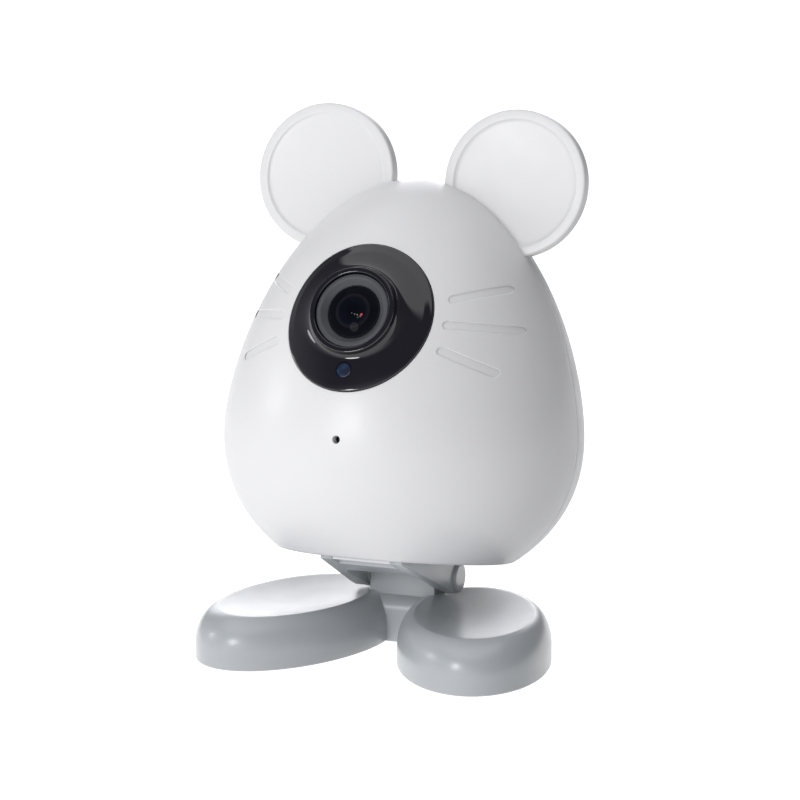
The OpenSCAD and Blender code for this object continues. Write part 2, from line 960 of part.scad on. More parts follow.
// Route of the flat cable in the plane of symmetry: from the main board back and down to the port board
cable_foot = -main_h / 2 + 2 * main_inset;
cable_out = [cos(lens_tilt), -sin(lens_tilt)];
cable_start = [-(main_back - fit) * cos(lens_tilt) + cable_foot * sin(lens_tilt),
  lens_up + (main_back - fit) * sin(lens_tilt) + cable_foot * cos(lens_tilt)];
cable_end = [port_board_front + main_inset, port_up + strip_t / 2 + fit];
cable_pull = (cable_end.x - cable_start.x) / 3;
cable_route = [cable_start, cable_start + cable_pull * cable_out, cable_end - [cable_pull, 0], cable_end];

module flat_cable()
  color("#d9dde2")
    head_frame()
      translate([-cable_w / 2, 0, 0])
        rotate([90, 0, 90])
          linear_extrude(cable_w)
            polygon([for (s = [-1, 1], k = [0 : cable_steps])
              let (t = (s < 0 ? k : cable_steps - k) / cable_steps)
              curve_at(cable_route, t) + s * strip_t / 2 * curve_side(cable_route, t)]);

module image_sensor()
  color("#20252e")
    lens_frame()
      translate([-sensor_w / 2, -sensor_w / 2, main_out])
        cube([sensor_w, sensor_w, sensor_t]);

slot_s = main_out + sensor_t + 5 * run;
slot_h = slider_t + 2 * run;

module lens_holder()
  color(dark_plastic)
    lens_frame()
      difference() {
        union() {
          translate([-holder_w / 2, -holder_d / 2, main_out])
            cube([holder_w, holder_d, holder_h]);
          translate([0, 0, main_out + holder_h])
            cylinder(d = thread_d + 2 * tower_wall, h = tower_h);
        }
        translate([-sensor_w / 2 - 2 * run, -sensor_w / 2 - 2 * run, main_out - run])
          cube([sensor_w + 4 * run, sensor_w + 4 * run, sensor_t + 3 * run]);
        translate([0, 0, main_out])
          cylinder(d = filter_d, h = holder_h + run);
        translate([-(slider_l + slider_travel) / 2 - run, -slider_w / 2 - run, slot_s])
          cube([slider_l + slider_travel + 2 * run, slider_w + 2 * run, slot_h]);
        translate([0, 0, main_out + holder_h])
          cylinder(d = thread_d + fit, h = reach);
      }

module slider_frame()
  lens_frame()
    translate([-slider_travel / 2, 0, slot_s + run])
      children();

module filter_slider()
  color("#3b3d42")
    slider_frame()
      difference() {
        translate([-slider_l / 2, -slider_w / 2, 0])
          cube([slider_l, slider_w, slider_t]);
        for (s = [-1, 1])
          translate([s * slider_travel / 2, 0, -slider_t])
            cylinder(d = filter_d, h = 3 * slider_t);
      }

module filter_glass()
  color("#5a7fb0")
    slider_frame()
      for (s = [-1, 1])
        translate([s * slider_travel / 2, 0, slider_t / 4])
          cylinder(d = filter_d - fit, h = slider_t / 2);

module filter_actuator()
  color("#b06a35")
    lens_frame()
      translate([0, holder_d / 2 + coil_d / 2 + fit, main_out + coil_d / 2 + fit]) {
        across()
          translate([0, 0, -coil_l / 2])
            cylinder(d = coil_d - 2 * fit, h = coil_l);
        for (s = [-1, 1])
          translate([s * (coil_l - board_t) / 2, 0, 0])
            cube([board_t, coil_d + 2 * fit, coil_d + 2 * fit], center = true);
      }

// Sound

module microphone_boot()
  color("#37383c")
    head_frame()
      translate([0, -mic_face, mic_up])
        rotate([-90, 0, 0])
          difference() {
            cylinder(d = boot_d, h = boot_l);
            translate([0, 0, boot_wall])
              cylinder(d = mic_d + fit, h = reach);
            translate([0, 0, -boot_l])
              cylinder(d = mic_hole, h = reach);
          }

module microphone()
  color(steel)
    head_frame()
      translate([0, boot_wall - mic_face, mic_up])
        rotate([-90, 0, 0])
          cylinder(d = mic_d, h = mic_t);

gasket_t = speaker_rim / 3;
rim_back = speaker_front - gasket_t;
rim_front = rim_back - speaker_rim / 2;
basket_back = rim_front - basket_h;
coil_back = basket_back + 2 * basket_t;
cone_r = speaker_d / 2 - speaker_rim - fit;

module speaker_frame()
  color(dark_plastic)
    head_frame()
      backward(0, speaker_up)
        rotate_extrude()
          polygon([
            [speaker_d / 2, rim_back],
            [speaker_d / 2, rim_front],
            [magnet_d / 2, basket_back],
            [0, basket_back],
            [0, basket_back + basket_t],
            [magnet_d / 2 - basket_t, basket_back + basket_t],
            [speaker_d / 2 - speaker_rim, rim_front],
            [speaker_d / 2 - speaker_rim, rim_back]]);

module speaker_cone()
  color("#4a4b50")
    head_frame()
      backward(0, speaker_up)
        rotate_extrude()
          polygon([
            [0, coil_back],
            [magnet_d / 4, coil_back],
            [cone_r, rim_back - 2 * strip_t],
            [cone_r, rim_back - strip_t],
            [magnet_d / 4, coil_back + strip_t],
            [0, coil_back + 2 * strip_t]]);

module speaker_magnet()
  color(steel)
    head_frame()
      backward(0, speaker_up)
        translate([0, 0, basket_back - magnet_h])
          cylinder(d = magnet_d, h = magnet_h);

module speaker_gasket()
  color("#1d1d20")
    head_frame()
      backward(0, speaker_up)
        translate([0, 0, rim_back])
          ring(speaker_d, speaker_d - 2 * speaker_rim, gasket_t);

// Ports

module port_board()
  color(board_green)
    head_frame()
      difference() {
        translate([-port_board_w / 2, port_board_front, port_up - board_t])
          cube([port_board_w, port_board_back - port_board_front, board_t]);
        for (p = port_screws)
          translate([p.x, p.y, port_up - 2 * board_t])
            cylinder(d = pilot_d, h = 3 * board_t);
      }

module port_board_screws()
  color(steel)
    head_frame()
      for (p = port_screws)
        translate([p.x, p.y, port_up])
          mirror([0, 0, 1])
            screw(board_screw_l - fit);

module usb_socket()
  color(steel)
    head_frame()
      backward(usb_x, recess_z)
        translate([0, 0, recess_back - run - usb_l]) {
          difference() {
            linear_extrude(usb_l)
              stadium(usb_w, usb_h);
            translate([0, 0, strip_t])
              linear_extrude(usb_l)
                stadium(usb_w - 2 * strip_t, usb_h - 2 * strip_t);
          }
          translate([-tongue_w / 2, -strip_t, 0])
            cube([tongue_w, 2 * strip_t, usb_l - 2 * strip_t]);
        }

module card_socket()
  color(steel)
    head_frame()
      translate([card_x - card_w / 2, recess_back - wall - run - card_l, port_up])
        difference() {
          cube([card_w, card_l, card_h]);
          translate([strip_t, strip_t, strip_t])
            cube([card_w - 2 * strip_t, card_l, card_h - 2 * strip_t]);
        }

switch_back = port_board_back + switch_w / 2;
flange_d = button_d + 2 * strip_t + 2 * run;

module reset_switch()
  color("#222327")
    head_frame() {
      translate([button_x - switch_w / 2, switch_back - switch_w, port_up])
        cube([switch_w, switch_w - strip_t, usb_h]);
      backward(button_x, recess_z)
        translate([0, 0, switch_back - 2 * strip_t])
          cylinder(d = button_d / 2, h = 2 * strip_t);
    }

module reset_button()
  color("#8d9296")
    head_frame()
      backward(button_x, recess_z) {
        translate([0, 0, switch_back + button_travel + fit])
          cylinder(d = button_d, h = recess_back + run - switch_back - button_travel - fit);
        translate([0, 0, recess_back - wall - run - 2 * strip_t])
          cylinder(d = flange_d, h = 2 * strip_t);
      }

// Hinge

bracket_side = hinge_back - lug_d / 2 - fit;

// Lowest line of the bracket: from its front edge, touching the lug's round
edge_p = [-bracket_front, -under_h - bracket_edge];
lug_c = [hinge_back, -under_h - hinge_drop];
lug_far = norm(lug_c - edge_p);
lug_touch = lug_d / 2 - fit;
touch_turn = atan2(lug_c.y - edge_p.y, lug_c.x - edge_p.x) - asin(lug_touch / lug_far);
touch_p = edge_p + sqrt(pow(lug_far, 2) - pow(lug_touch, 2)) * [cos(touch_turn), sin(touch_turn)];

module bracket_profile() {
  polygon([edge_p, touch_p, [lug_c.x + lug_touch, lug_c.y],
    [lug_c.x + lug_touch, -under_h], [-bracket_front, -under_h]]);
  translate(lug_c)
    circle(d = lug_d);
}

module bracket_plan()
  polygon([
    [-bracket_front_w / 2, -bracket_front],
    [bracket_front_w / 2, -bracket_front],
    [lug_out, bracket_side],
    [lug_out, hinge_back + lug_d],
    [-lug_out, hinge_back + lug_d],
    [-lug_out, bracket_side]]);

module pocket_plan()
  translate([0, hinge_back - pocket_ahead + reach / 2])
    soft_rectangle(2 * lug_in, reach, pocket_round);

module mouth_plan()
  translate([0, hinge_back - mouth_ahead + reach / 2])
    soft_rectangle(2 * lug_in - 2 * fit, reach, pocket_round);

module tilt_bracket()
  color(stand_grey)
    head_frame()
      difference() {
        intersection() {
          translate([-lug_out, 0, 0])
            rotate([90, 0, 90])
              linear_extrude(2 * lug_out)
                bracket_profile();
          translate([0, 0, -reach])
            linear_extrude(reach)
              bracket_plan();
        }
        translate([0, 0, -reach])
          linear_extrude(reach)
            pocket_plan();
        translate([0, 0, -under_h - mouth_roof - reach])
          linear_extrude(reach)
            mouth_plan();
        translate([-tab_w / 2 - fit, -reach, -reach])
          cube([tab_w + 2 * fit, reach - bracket_front + tab_l + 2 * fit, reach]);
        translate([-reach, hinge_back, -under_h - hinge_drop])
          across()
            cylinder(d = pin_d + 2 * pin_play, h = 2 * reach);
        for (s = [-1, 1])
          translate([s * bracket_screw_x, -bracket_screw_ahead, -under_h - bracket_grip - fit])
            cylinder(d = pilot_d, h = reach);
      }

module bracket_screws()
  color(steel)
    head_frame()
      for (s = [-1, 1])
        translate([s * bracket_screw_x, -bracket_screw_ahead, inner_floor])
          mirror([0, 0, 1])
            screw(wall + bracket_grip);

module hinge_pin()
  color(steel)
    hinge_axis()
      translate([0, 0, -lug_out + fit])
        cylinder(d = pin_d, h = 2 * lug_out - 2 * fit);

module hinge_washers()
  color("#d8d4c8")
    hinge_axis()
      for (s = [-1, 1])
        translate([0, 0, s * (lug_in - fit - washer_t / 2) - washer_t / 2])
          ring(knuckle_d - 2 * run, pin_d + 2 * fit, washer_t);

module hinge_caps()
  color(stand_grey)
    for (s = [0, 1])
      mirror([s, 0, 0])
        hinge_axis()
          translate([0, 0, lug_out])
            rotate_extrude()
              union() {
                square([lug_d / 2 - cap_t, cap_t]);
                square([lug_d / 2 - run, cap_t / 2]);
                translate([lug_d / 2 - run - cap_t / 2, cap_t / 2])
                  circle(cap_t / 2);
              }

// Stand

module puck(half_l, h, steps) {
  rim = [half_l - foot_round * (1 - sin(foot_crease)), h - foot_round * (1 - cos(foot_crease))];
  dish_r = (pow(rim.x, 2) + pow(foot_dish, 2)) / (2 * foot_dish);
  rotate_extrude()
    polygon(concat(
      [[0, 0], [half_l, 0]],
      [for (k = [0 : steps]) let (a = 90 - (90 - foot_crease) * k / steps)
        [half_l - foot_round + foot_round * sin(a), h - foot_round + foot_round * cos(a)]],
      [for (k = [1 : steps]) let (r = rim.x * (1 - k / steps))
        [r, rim.y - foot_dish + dish_r - sqrt(pow(dish_r, 2) - pow(r, 2))]]));
}

module foot_body()
  translate([0, 0, pad_proud])
    scale([foot_w / foot_l, 1, 1])
      puck(foot_l / 2, foot_h - pad_proud, foot_steps);

inner_l = foot_l - 2 * foot_wall;
inner_w = foot_w - 2 * foot_wall;

module foot_hollow()
  translate([0, 0, -pad_proud])
    scale([inner_w / inner_l, 1, 1])
      puck(inner_l / 2, foot_h - foot_wall + pad_proud, foot_steps / 2);

module bridge_profile(inset, top) {
  edge = max(least_round, bridge_round - inset);
  front = inset - bridge_front;
  difference() {
    union() {
      translate([front, pad_proud])
        square([bridge_front + bridge_back - 2 * inset, top - pad_proud - edge]);
      translate([front + edge, pad_proud])
        square([bridge_front + bridge_back - 2 * inset - 2 * edge, top - pad_proud]);
      translate([front + edge, top - edge])
        circle(edge);
      translate([bridge_back - inset - edge, top - edge])
        circle(edge);
    }
    translate([-reach, -reach])
      square([2 * reach, reach + pad_proud / 2]);
  }
}

module along_x(length)
  translate([-length / 2, 0, 0])
    rotate([90, 0, 90])
      linear_extrude(length)
        children();

module bridge_hollow()
  translate([0, 0, -pad_proud])
    along_x(bridge_w)
      bridge_profile(foot_wall, bridge_h - foot_wall + pad_proud);

module knuckle() {
  hinge_axis()
    translate([0, 0, -knuckle_w / 2])
      cylinder(d = knuckle_d, h = knuckle_w);
  translate([-knuckle_w / 2, hinge_y - knuckle_d / 2, bridge_h / 2])
    cube([knuckle_w, knuckle_d, hinge_z - bridge_h / 2]);
}

module foot_bosses()
  for (s = [-1, 1], u = sole_screw_along)
    foot_frame(s)
      translate([0, u, pad_proud + sole_t])
        cylinder(d = boss_d, h = foot_h - foot_dish - foot_wall / 2 - pad_proud - sole_t);

module sole_screw_holes(d, from, h)
  for (s = [-1, 1], u = sole_screw_along)
    foot_frame(s)
      translate([0, u, from])
        cylinder(d = d, h = h);

module foot_solid() {
  difference() {
    union() {
      for (s = [-1, 1])
        foot_frame(s)
          foot_body();
      along_x(bridge_w)
        bridge_profile(0, bridge_h);
    }
    hinge_axis()
      translate([0, 0, -lug_out - cap_t - run])
        cylinder(d = lug_d + 3 * run, h = 2 * (lug_out + cap_t + run));
  }
  knuckle();
}

module foot_base()
  color(stand_grey)
    difference() {
      union() {
        difference() {
          foot_solid();
          for (s = [-1, 1])
            foot_frame(s)
              foot_hollow();
          bridge_hollow();
        }
        foot_bosses();
      }
      hinge_axis()
        translate([0, 0, -reach])
          cylinder(d = pin_d + 2 * pin_play, h = 2 * reach);
      sole_screw_holes(pilot_d, 0, pad_proud + sole_t + sole_grip + fit);
    }

module sole_outline() {
  for (s = [-1, 1])
    foot_frame(s)
      scale([(inner_w / 2 - fit) / (inner_l / 2 - fit), 1, 1])
        cylinder(d = inner_l - 2 * fit, h = sole_t);
  translate([-bridge_w / 2 + fit, foot_wall + fit - bridge_front, 0])
    cube([bridge_w - 2 * fit, bridge_front + bridge_back - 2 * foot_wall - 2 * fit, sole_t]);
}

module pad_places()
  for (s = [-1, 1], u = pad_along)
    foot_frame(s)
      translate([0, u, 0])
        children();

module sole_plate()
  color("#8b9194")
    difference() {
      translate([0, 0, pad_proud])
        sole_outline();
      pad_places()
        cylinder(d = pad_d + 2 * fit, h = pad_proud + pad_sink);
      sole_screw_holes(pilot_d, 0, reach);
      sole_screw_holes(head_d + 2 * fit, 0, pad_proud + head_h);
    }

module sole_screws()
  color(steel)
    for (s = [-1, 1], u = sole_screw_along)
      foot_frame(s)
        translate([0, u, pad_proud + head_h])
          screw(sole_t - head_h + sole_grip);

module foot_pads()
  color("#4a4d50")
    pad_places()
      cylinder(d = pad_d, h = pad_proud + pad_sink);

front_shell();
rear_shell();
shell_screws();
ir_window();
indicator_lens();
lens_barrel();
lens_front_glass();
lens_rear_glass();
lens_holder();
filter_slider();
filter_glass();
filter_actuator();
image_sensor();
main_board();
shield_can();
main_board_screws();
led_board();
ir_leds();
wifi_antenna();
flat_cable();
microphone();
microphone_boot();
speaker_frame();
speaker_cone();
speaker_magnet();
speaker_gasket();
port_board();
port_board_screws();
usb_socket();
card_socket();
reset_switch();
reset_button();
tilt_bracket();
bracket_screws();
hinge_pin();
hinge_washers();
hinge_caps();
foot_base();
sole_plate();
sole_screws();
foot_pads();
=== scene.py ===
"""Studio scene of a pet camera: an egg-shaped head with round ears, leaning back on a stand with oval feet.

Lengths in the classes are millimetres in the part's own frame: the front faces -Y and the floor is Z = 0.
"""

import json
import logging
import math
from dataclasses import dataclass, field
from enum import Enum
from typing import Any, Callable, Mapping, Optional, Sequence, Union

import bmesh
import bpy
import numpy as np
from mathutils import Matrix, Vector


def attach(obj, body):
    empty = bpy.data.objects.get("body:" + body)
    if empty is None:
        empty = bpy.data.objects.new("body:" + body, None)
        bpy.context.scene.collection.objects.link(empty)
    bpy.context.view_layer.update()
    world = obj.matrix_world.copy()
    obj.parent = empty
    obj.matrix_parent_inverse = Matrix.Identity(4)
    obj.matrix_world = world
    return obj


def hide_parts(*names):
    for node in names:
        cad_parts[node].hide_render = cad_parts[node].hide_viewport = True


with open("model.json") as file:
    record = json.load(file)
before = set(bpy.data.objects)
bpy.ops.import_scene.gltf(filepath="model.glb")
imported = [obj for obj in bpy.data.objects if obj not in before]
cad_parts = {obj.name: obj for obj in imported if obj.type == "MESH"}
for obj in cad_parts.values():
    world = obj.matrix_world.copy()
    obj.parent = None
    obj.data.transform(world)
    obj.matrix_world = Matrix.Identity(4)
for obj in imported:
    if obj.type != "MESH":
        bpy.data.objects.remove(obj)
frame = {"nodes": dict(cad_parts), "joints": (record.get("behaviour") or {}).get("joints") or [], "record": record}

LOG = logging.getLogger("pet_camera")
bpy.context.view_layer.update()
MM = 0.001
HALVINGS = 44
NORMALS = "smooth_normal"
# Least cosine between a kept normal and its face
LEAST_FACING = 0.5
# Angle in degrees above which an edge is sharp
CREASE = 32.0
# Length that reaches beyond the whole part
FAR = 90.0
UP = (0.0, 0.0, 1.0)
FORWARD = (0.0, -1.0, 0.0)
BACKWARD = (0.0, 1.0, 0.0)

Array = np.ndarray
Point = tuple[float, float]
Colour = tuple[float, float, float]
Face = Sequence[int]
Key = Union[int, str]


class Slot(str, Enum):
    """Finishes of the part, by the record's names."""

    HEAD_WHITE = "head_white"
    WINDOW_BLACK = "window_black"
    INDICATOR_BLUE = "indicator_blue"
    MATTE_BLACK = "matte_black"
    LENS_GLASS = "lens_glass"
    FILTER_TINT = "filter_tint"
    BOARD_GREEN = "board_green"
    SENSOR_DARK = "sensor_dark"
    BARE_STEEL = "bare_steel"
    MAGNET_GREY = "magnet_grey"
    COIL_COPPER = "coil_copper"
    ANTENNA_GOLD = "antenna_gold"
    RIBBON = "ribbon"
    SOFT_RUBBER = "soft_rubber"
    CONE_PAPER = "cone_paper"
    LAMP_SMOKE = "lamp_smoke"
    BUTTON_GREY = "button_grey"
    STAND_GREY = "stand_grey"
    SOLE_GREY = "sole_grey"
    WASHER_CREAM = "washer_cream"


class Body(str, Enum):
    """Bodies that pieces ride on."""

    BASE = "base"
    HEAD = "head"


class Side(Enum):
    """Half of the head on one side of its seam."""

    FRONT = -1
    REAR = 1


class Combine(str, Enum):
    """Ways in which one closed form acts on another."""

    JOIN = "UNION"
    CUT = "DIFFERENCE"
    KEEP = "INTERSECT"


# Points and outlines


def arc(centre: Point, radius: float, start: float, end: float, steps: int) -> list[Point]:
    """Points along an arc of a circle.

    Args:
        centre: Middle of the circle.
        radius: Its radius.
        start: Angle of the first point, in degrees.
        end: Angle of the last point, in degrees.
        steps: Number of steps between them.

    Returns:
        One more point than there are steps.
    """
    angles = np.radians(np.linspace(start, end, steps + 1))
    return [(centre[0] + radius * math.cos(a), centre[1] + radius * math.sin(a)) for a in angles]


def disc(radius: float, steps: int = 32) -> list[Point]:
    """Outline of a circle about the origin."""
    return arc((0, 0), radius, 0, 360 - 360 / steps, steps - 1)


def stadium(length: float, width: float, steps: int = 24, along: int = 1) -> list[Point]:
    """Outline of a bar with round ends, along the first axis and about its middle.

    Args:
        length: Overall length.
        width: Overall width.
        steps: Steps round each end.
        along: Steps along each straight side.

    Returns:
        Points, counter-clockwise.
    """
    half, edge = (length - width) / 2, width / 2
    side = np.linspace(half, -half, along + 1)[1:-1]
    upper = arc((half, 0), edge, -90, 90, steps) + [(x, edge) for x in side]
    return upper + [(-x, -y) for x, y in upper]


def soft_rectangle(length: float, width: float, corner: float, steps: int = 6) -> list[Point]:
    """Outline of a rectangle with round corners, about its middle.

    Args:
        length: Size along the first axis.
        width: Size along the second axis.
        corner: Radius of the corners.
        steps: Steps round each corner.

    Returns:
        Points, counter-clockwise.
    """
    x, y = length / 2 - corner, width / 2 - corner
    corners = ((x, y, 0), (-x, y, 90), (-x, -y, 180), (x, -y, 270))
    return [p for cx, cy, a in corners for p in arc((cx, cy), corner, a, a + 90, steps)]


def eased(before: Point, corner: Point, after: Point, steps: int = 4) -> list[Point]:
    """Points of a soft bend that takes the place of a corner.

    Args:
        before: Where the bend begins.
        corner: The corner that it leaves out.
        after: Where the bend ends.
        steps: Steps along the bend.

    Returns:
        Points from before to after.
    """
    a, b, c = (np.array(p, float) for p in (before, corner, after))
    return [tuple((1 - t) ** 2 * a + 2 * t * (1 - t) * b + t * t * c) for t in np.linspace(0, 1, steps + 1)]


def moved(points: Array, place: Matrix) -> Array:
    """Points of a local frame in the part's frame."""
    turn = np.array(place)
    return np.asarray(points, float) @ turn[:3, :3].T + turn[:3, 3]


def facing(directions: Sequence[float], place: Matrix) -> Array:
    """Directions of a local frame in the part's frame."""
    return np.asarray(directions, float) @ np.array(place.to_3x3()).T


def unit(vectors: Array) -> Array:
    """Vectors of length one."""
    return vectors / np.linalg.norm(vectors, axis=-1, keepdims=True)


def shifted(x: float = 0.0, y: float = 0.0, z: float = 0.0) -> Matrix:
    """Frame moved along the axes."""
    return Matrix.Translation((x, y, z))


def turned(degrees: float, axis: str) -> Matrix:
    """Frame turned about one axis."""
    return Matrix.Rotation(math.radians(degrees), 4, axis)


def cap_radius(reach: float, rise: float) -> float:
    """Radius of the sphere of a shallow cap, from the cap's own radius and its rise."""
    return (reach**2 + rise**2) / (2 * rise)


def furthest(holds: Callable[[Array], Array], low: Array, high: Array) -> Array:
    """Largest values for which a test holds, found by halving.

    Args:
        holds: Test of one value for each entry.
        low: Values for which it holds.
        high: Values for which it fails.

    Returns:
        The values.
    """
    for _ in range(HALVINGS):
        mid = (low + high) / 2
        good = holds(mid)
        low, high = np.where(good, mid, low), np.where(good, high, mid)
    return low


# Closed forms


class Form:
    """A closed mesh that other closed meshes can join, cut or limit, and that keeps its smooth normals."""

    def __init__(self, points: Array, faces: Sequence[Face], place: Optional[Matrix] = None) -> None:
        """Makes the mesh.

        Args:
            points: Corners in millimetres.
            faces: Corner numbers of each face.
            place: Frame that the corners are given in.
        """
        where = np.asarray(points, float) if place is None else moved(points, place)
        mesh = bpy.data.meshes.new("form")
        mesh.from_pydata((where * MM).tolist(), [], [list(f) for f in faces])
        work = bmesh.new()
        work.from_mesh(mesh)
        bmesh.ops.recalc_face_normals(work, faces=work.faces)
        work.to_mesh(mesh)
        work.free()
        self.object = bpy.data.objects.new("form", mesh)
        bpy.context.scene.collection.objects.link(self.object)
        self._keep_normals()

    def _keep_normals(self) -> None:
        """Stores each corner's smooth normal where other forms' cuts carry it along."""
        mesh = self.object.data
        mesh.shade_smooth()
        mesh.set_sharp_from_angle(angle=math.radians(CREASE))
        normals = np.zeros(3 * len(mesh.loops), np.float32)
        mesh.corner_normals.foreach_get("vector", normals)
        kept = mesh.attributes.get(NORMALS) or mesh.attributes.new(NORMALS, "FLOAT_VECTOR", "CORNER")
        kept.data.foreach_set("vector", normals)

    def _applied(self) -> None:
        """Makes the result of the modifiers the form's own mesh."""
        graph = bpy.context.evaluated_depsgraph_get()
        shown = self.object.evaluated_get(graph)
        mesh = bpy.data.meshes.new_from_object(shown, preserve_all_data_layers=True, depsgraph=graph)
        self.object.modifiers.clear()
        old, self.object.data = self.object.data, mesh
        bpy.data.meshes.remove(old)

    def _combined(self, others: Sequence["Form"], how: Combine) -> "Form":
        """Lets other forms act on this one.

        Args:
            others: The forms, which are used up.
            how: What they do.

        Returns:
            This form.
        """
        for other in others:
            step = self.object.modifiers.new("combine", "BOOLEAN")
            step.operation = how.value
            step.solver = "MANIFOLD"
            step.object = other.object
            self._applied()
            bpy.data.meshes.remove(other.object.data)
        return self

    def join(self, *others: "Form") -> "Form":
        """Adds other forms to this one."""
        return self._combined(others, Combine.JOIN)

    def cut(self, *others: "Form") -> "Form":
        """Takes other forms out of this one."""
        return self._combined(others, Combine.CUT)

    def keep(self, *others: "Form") -> "Form":
        """Keeps only what lies in every one of the other forms too."""
        return self._combined(others, Combine.KEEP)

    def soften(self, width: float, segments: int = 3, angle: float = 34.0) -> "Form":
        """Rounds the sharp edges.

        Args:
            width: Width of the rounding in millimetres.
            segments: Faces across it.
            angle: Angle in degrees above which an edge is rounded.

        Returns:
            This form.
        """
        step = self.object.modifiers.new("soften", "BEVEL")
        step.width = width * MM
        step.segments = segments
        step.limit_method = "ANGLE"
        step.angle_limit = math.radians(angle)
        step.use_clamp_overlap = True
        self._applied()
        self._keep_normals()
        return self

    def _shown_normals(self) -> Array:
        """The corners' kept normals, turned outward, or the face's own where a cut has spoilt them.

        Returns:
            One unit vector for each corner of each face.
        """
        mesh = self.object.data
        kept = np.zeros(3 * len(mesh.loops), np.float32)
        mesh.attributes[NORMALS].data.foreach_get("vector", kept)
        flat = np.zeros(3 * len(mesh.polygons), np.float32)
        mesh.polygons.foreach_get("normal", flat)
        sizes = np.zeros(len(mesh.polygons), np.int32)
        mesh.polygons.foreach_get("loop_total", sizes)
        kept, flat = kept.reshape(-1, 3), np.repeat(flat.reshape(-1, 3), sizes, axis=0)
        toward = (kept * flat).sum(1)[:, None]
        kept = np.where(toward < 0, -kept, kept)
        return unit(np.where(np.abs(toward) < LEAST_FACING, flat, kept))

    def piece(self, name: str, body: Body, slot: Slot, replaces: Sequence[str]) -> None:
        """Turns the form into a finished piece of the object.

        Args:
            name: The piece's name.
            body: Body that it rides on.
            slot: Its finish.
            replaces: Solids that it stands for.
        """
        mesh = self.object.data
        normals = self._shown_normals()
        mesh.attributes.remove(mesh.attributes[NORMALS])
        mesh.shade_smooth()
        mesh.normals_split_custom_set(normals.tolist())
        mesh.materials.clear()
        mesh.materials.append(material_of(slot))
        mesh.name = self.object.name = name
        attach(self.object, body.value)
        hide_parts(*replaces)
        LOG.info("%s: %d faces, on %s", name, len(mesh.polygons), body.value)


def apart(forms: Sequence[Form]) -> Form:
    """One form of several that don't touch, so that they act in one step.

    Args:
        forms: The forms, which are used up.

    Returns:
        All of them as one.
    """
    points: list[Array] = []
    faces: list[list[int]] = []
    for form in forms:
        mesh = form.object.data
        faces += [[len(points) + i for i in f.vertices] for f in mesh.polygons]
        points += [np.array(v.co) / MM for v in mesh.vertices]
        bpy.data.meshes.remove(mesh)
    return Form(np.array(points), faces)


def loft(rings: Array, place: Optional[Matrix] = None, first: Optional[Sequence[float]] = None,
         last: Optional[Sequence[float]] = None, around: bool = False) -> Form:
    """Form whose skin runs from ring to ring.

    Args:
        rings: Rows of points, each row closed.
        place: Frame that the points are given in.
        first: Tip before the first ring, which is closed flat where there is none.
        last: Tip after the last ring, likewise.
        around: Whether the last ring joins the first, so that there are no ends.

    Returns:
        The form.
    """
    rows, columns = rings.shape[:2]
    points = rings.reshape(-1, 3).tolist()
    bands = [(r, (r + 1) % rows) for r in range(rows if around else rows - 1)]
    turns = [(c, (c + 1) % columns) for c in range(columns)]
    faces = [(a * columns + c, a * columns + d, b * columns + d, b * columns + c)
             for a, b in bands for c, d in turns]
    ends = () if around else ((first, 0), (last, rows - 1))
    for tip, row in ends:
        if tip is None:
            faces.append(tuple(range(row * columns, (row + 1) * columns)))
            continue
        points.append(list(tip))
        faces += [(row * columns + c, row * columns + d, len(points) - 1) for c, d in turns]
    return Form(np.array(points), faces, place)


def revolved(profile: Sequence[Point], place: Matrix, steps: int = 96, stretch: float = 1.0) -> Form:
    """Form made by turning a profile about the local Z axis.

    Args:
        profile: Radius and height of each point. Ends on the axis become tips; without any it is a ring.
        place: Frame of the axis.
        steps: Steps round the axis.
        stretch: Width of the form along local X for a width of one along local Y.

    Returns:
        The form.
    """
    angles = np.radians(np.arange(steps) * 360 / steps)
    circle = np.stack([stretch * np.cos(angles), np.sin(angles), np.zeros(steps)], -1)
    inner = [p for p in profile if p[0] > 0]
    rings = np.array([r * circle + (0, 0, h) for r, h in inner])
    first = (0, 0, profile[0][1]) if profile[0][0] <= 0 else None
    last = (0, 0, profile[-1][1]) if profile[-1][0] <= 0 else None
    return loft(rings, place, first, last, around=first is None and last is None)


def prism(outline: Sequence[Point], bottom: float, top: float, place: Matrix) -> Form:
    """Form made by pulling an outline along the local Z axis.

    Args:
        outline: Points in the local XY plane.
        bottom: Height at which it starts.
        top: Height at which it ends.
        place: Frame of the outline.

    Returns:
        The form.
    """
    flat = np.array(outline, float)
    rings = np.array([np.column_stack([flat, np.full(len(flat), h)]) for h in (bottom, top)])
    return loft(rings, place)


def block(low: Sequence[float], high: Sequence[float], place: Matrix) -> Form:
    """Box between two corners of a local frame."""
    (x0, y0, z0), (x1, y1, z1) = low, high
    return prism([(x0, y0), (x1, y0), (x1, y1), (x0, y1)], z0, z1, place)


def bar(loop: Array, along: Sequence[float], place: Matrix) -> Form:
    """Bar that runs far along a direction from a closed loop."""
    return loft(np.array([loop, loop + FAR * np.asarray(along, float)]), place)


def edge_round(edge: Array, away: Array, inward: Array, size: float, place: Matrix, steps: int = 4) -> Form:
    """Tool that rounds the edge where a hole's wall leaves a surface.

    Args:
        edge: Points of the closed edge.
        away: Unit vectors along the surface, away from the hole.
        inward: Unit vectors along the wall, into the material.
        size: Radius of the rounding.
        place: Frame that these are given in.
        steps: Faces across the rounding.

    Returns:
        The tool, to be cut from the material.
    """
    over, under = 1.4 * size, -0.3 * size
    angles = np.linspace(0, math.pi / 2, steps + 1)
    bend = [(size - size * math.sin(a), size - size * math.cos(a)) for a in angles]
    section = [(over, under), *bend, (under, over), (-size, -size)]
    rings = np.array([edge + a * away + b * inward for a, b in section])
    return loft(rings, place, around=True)


# The head's own shape


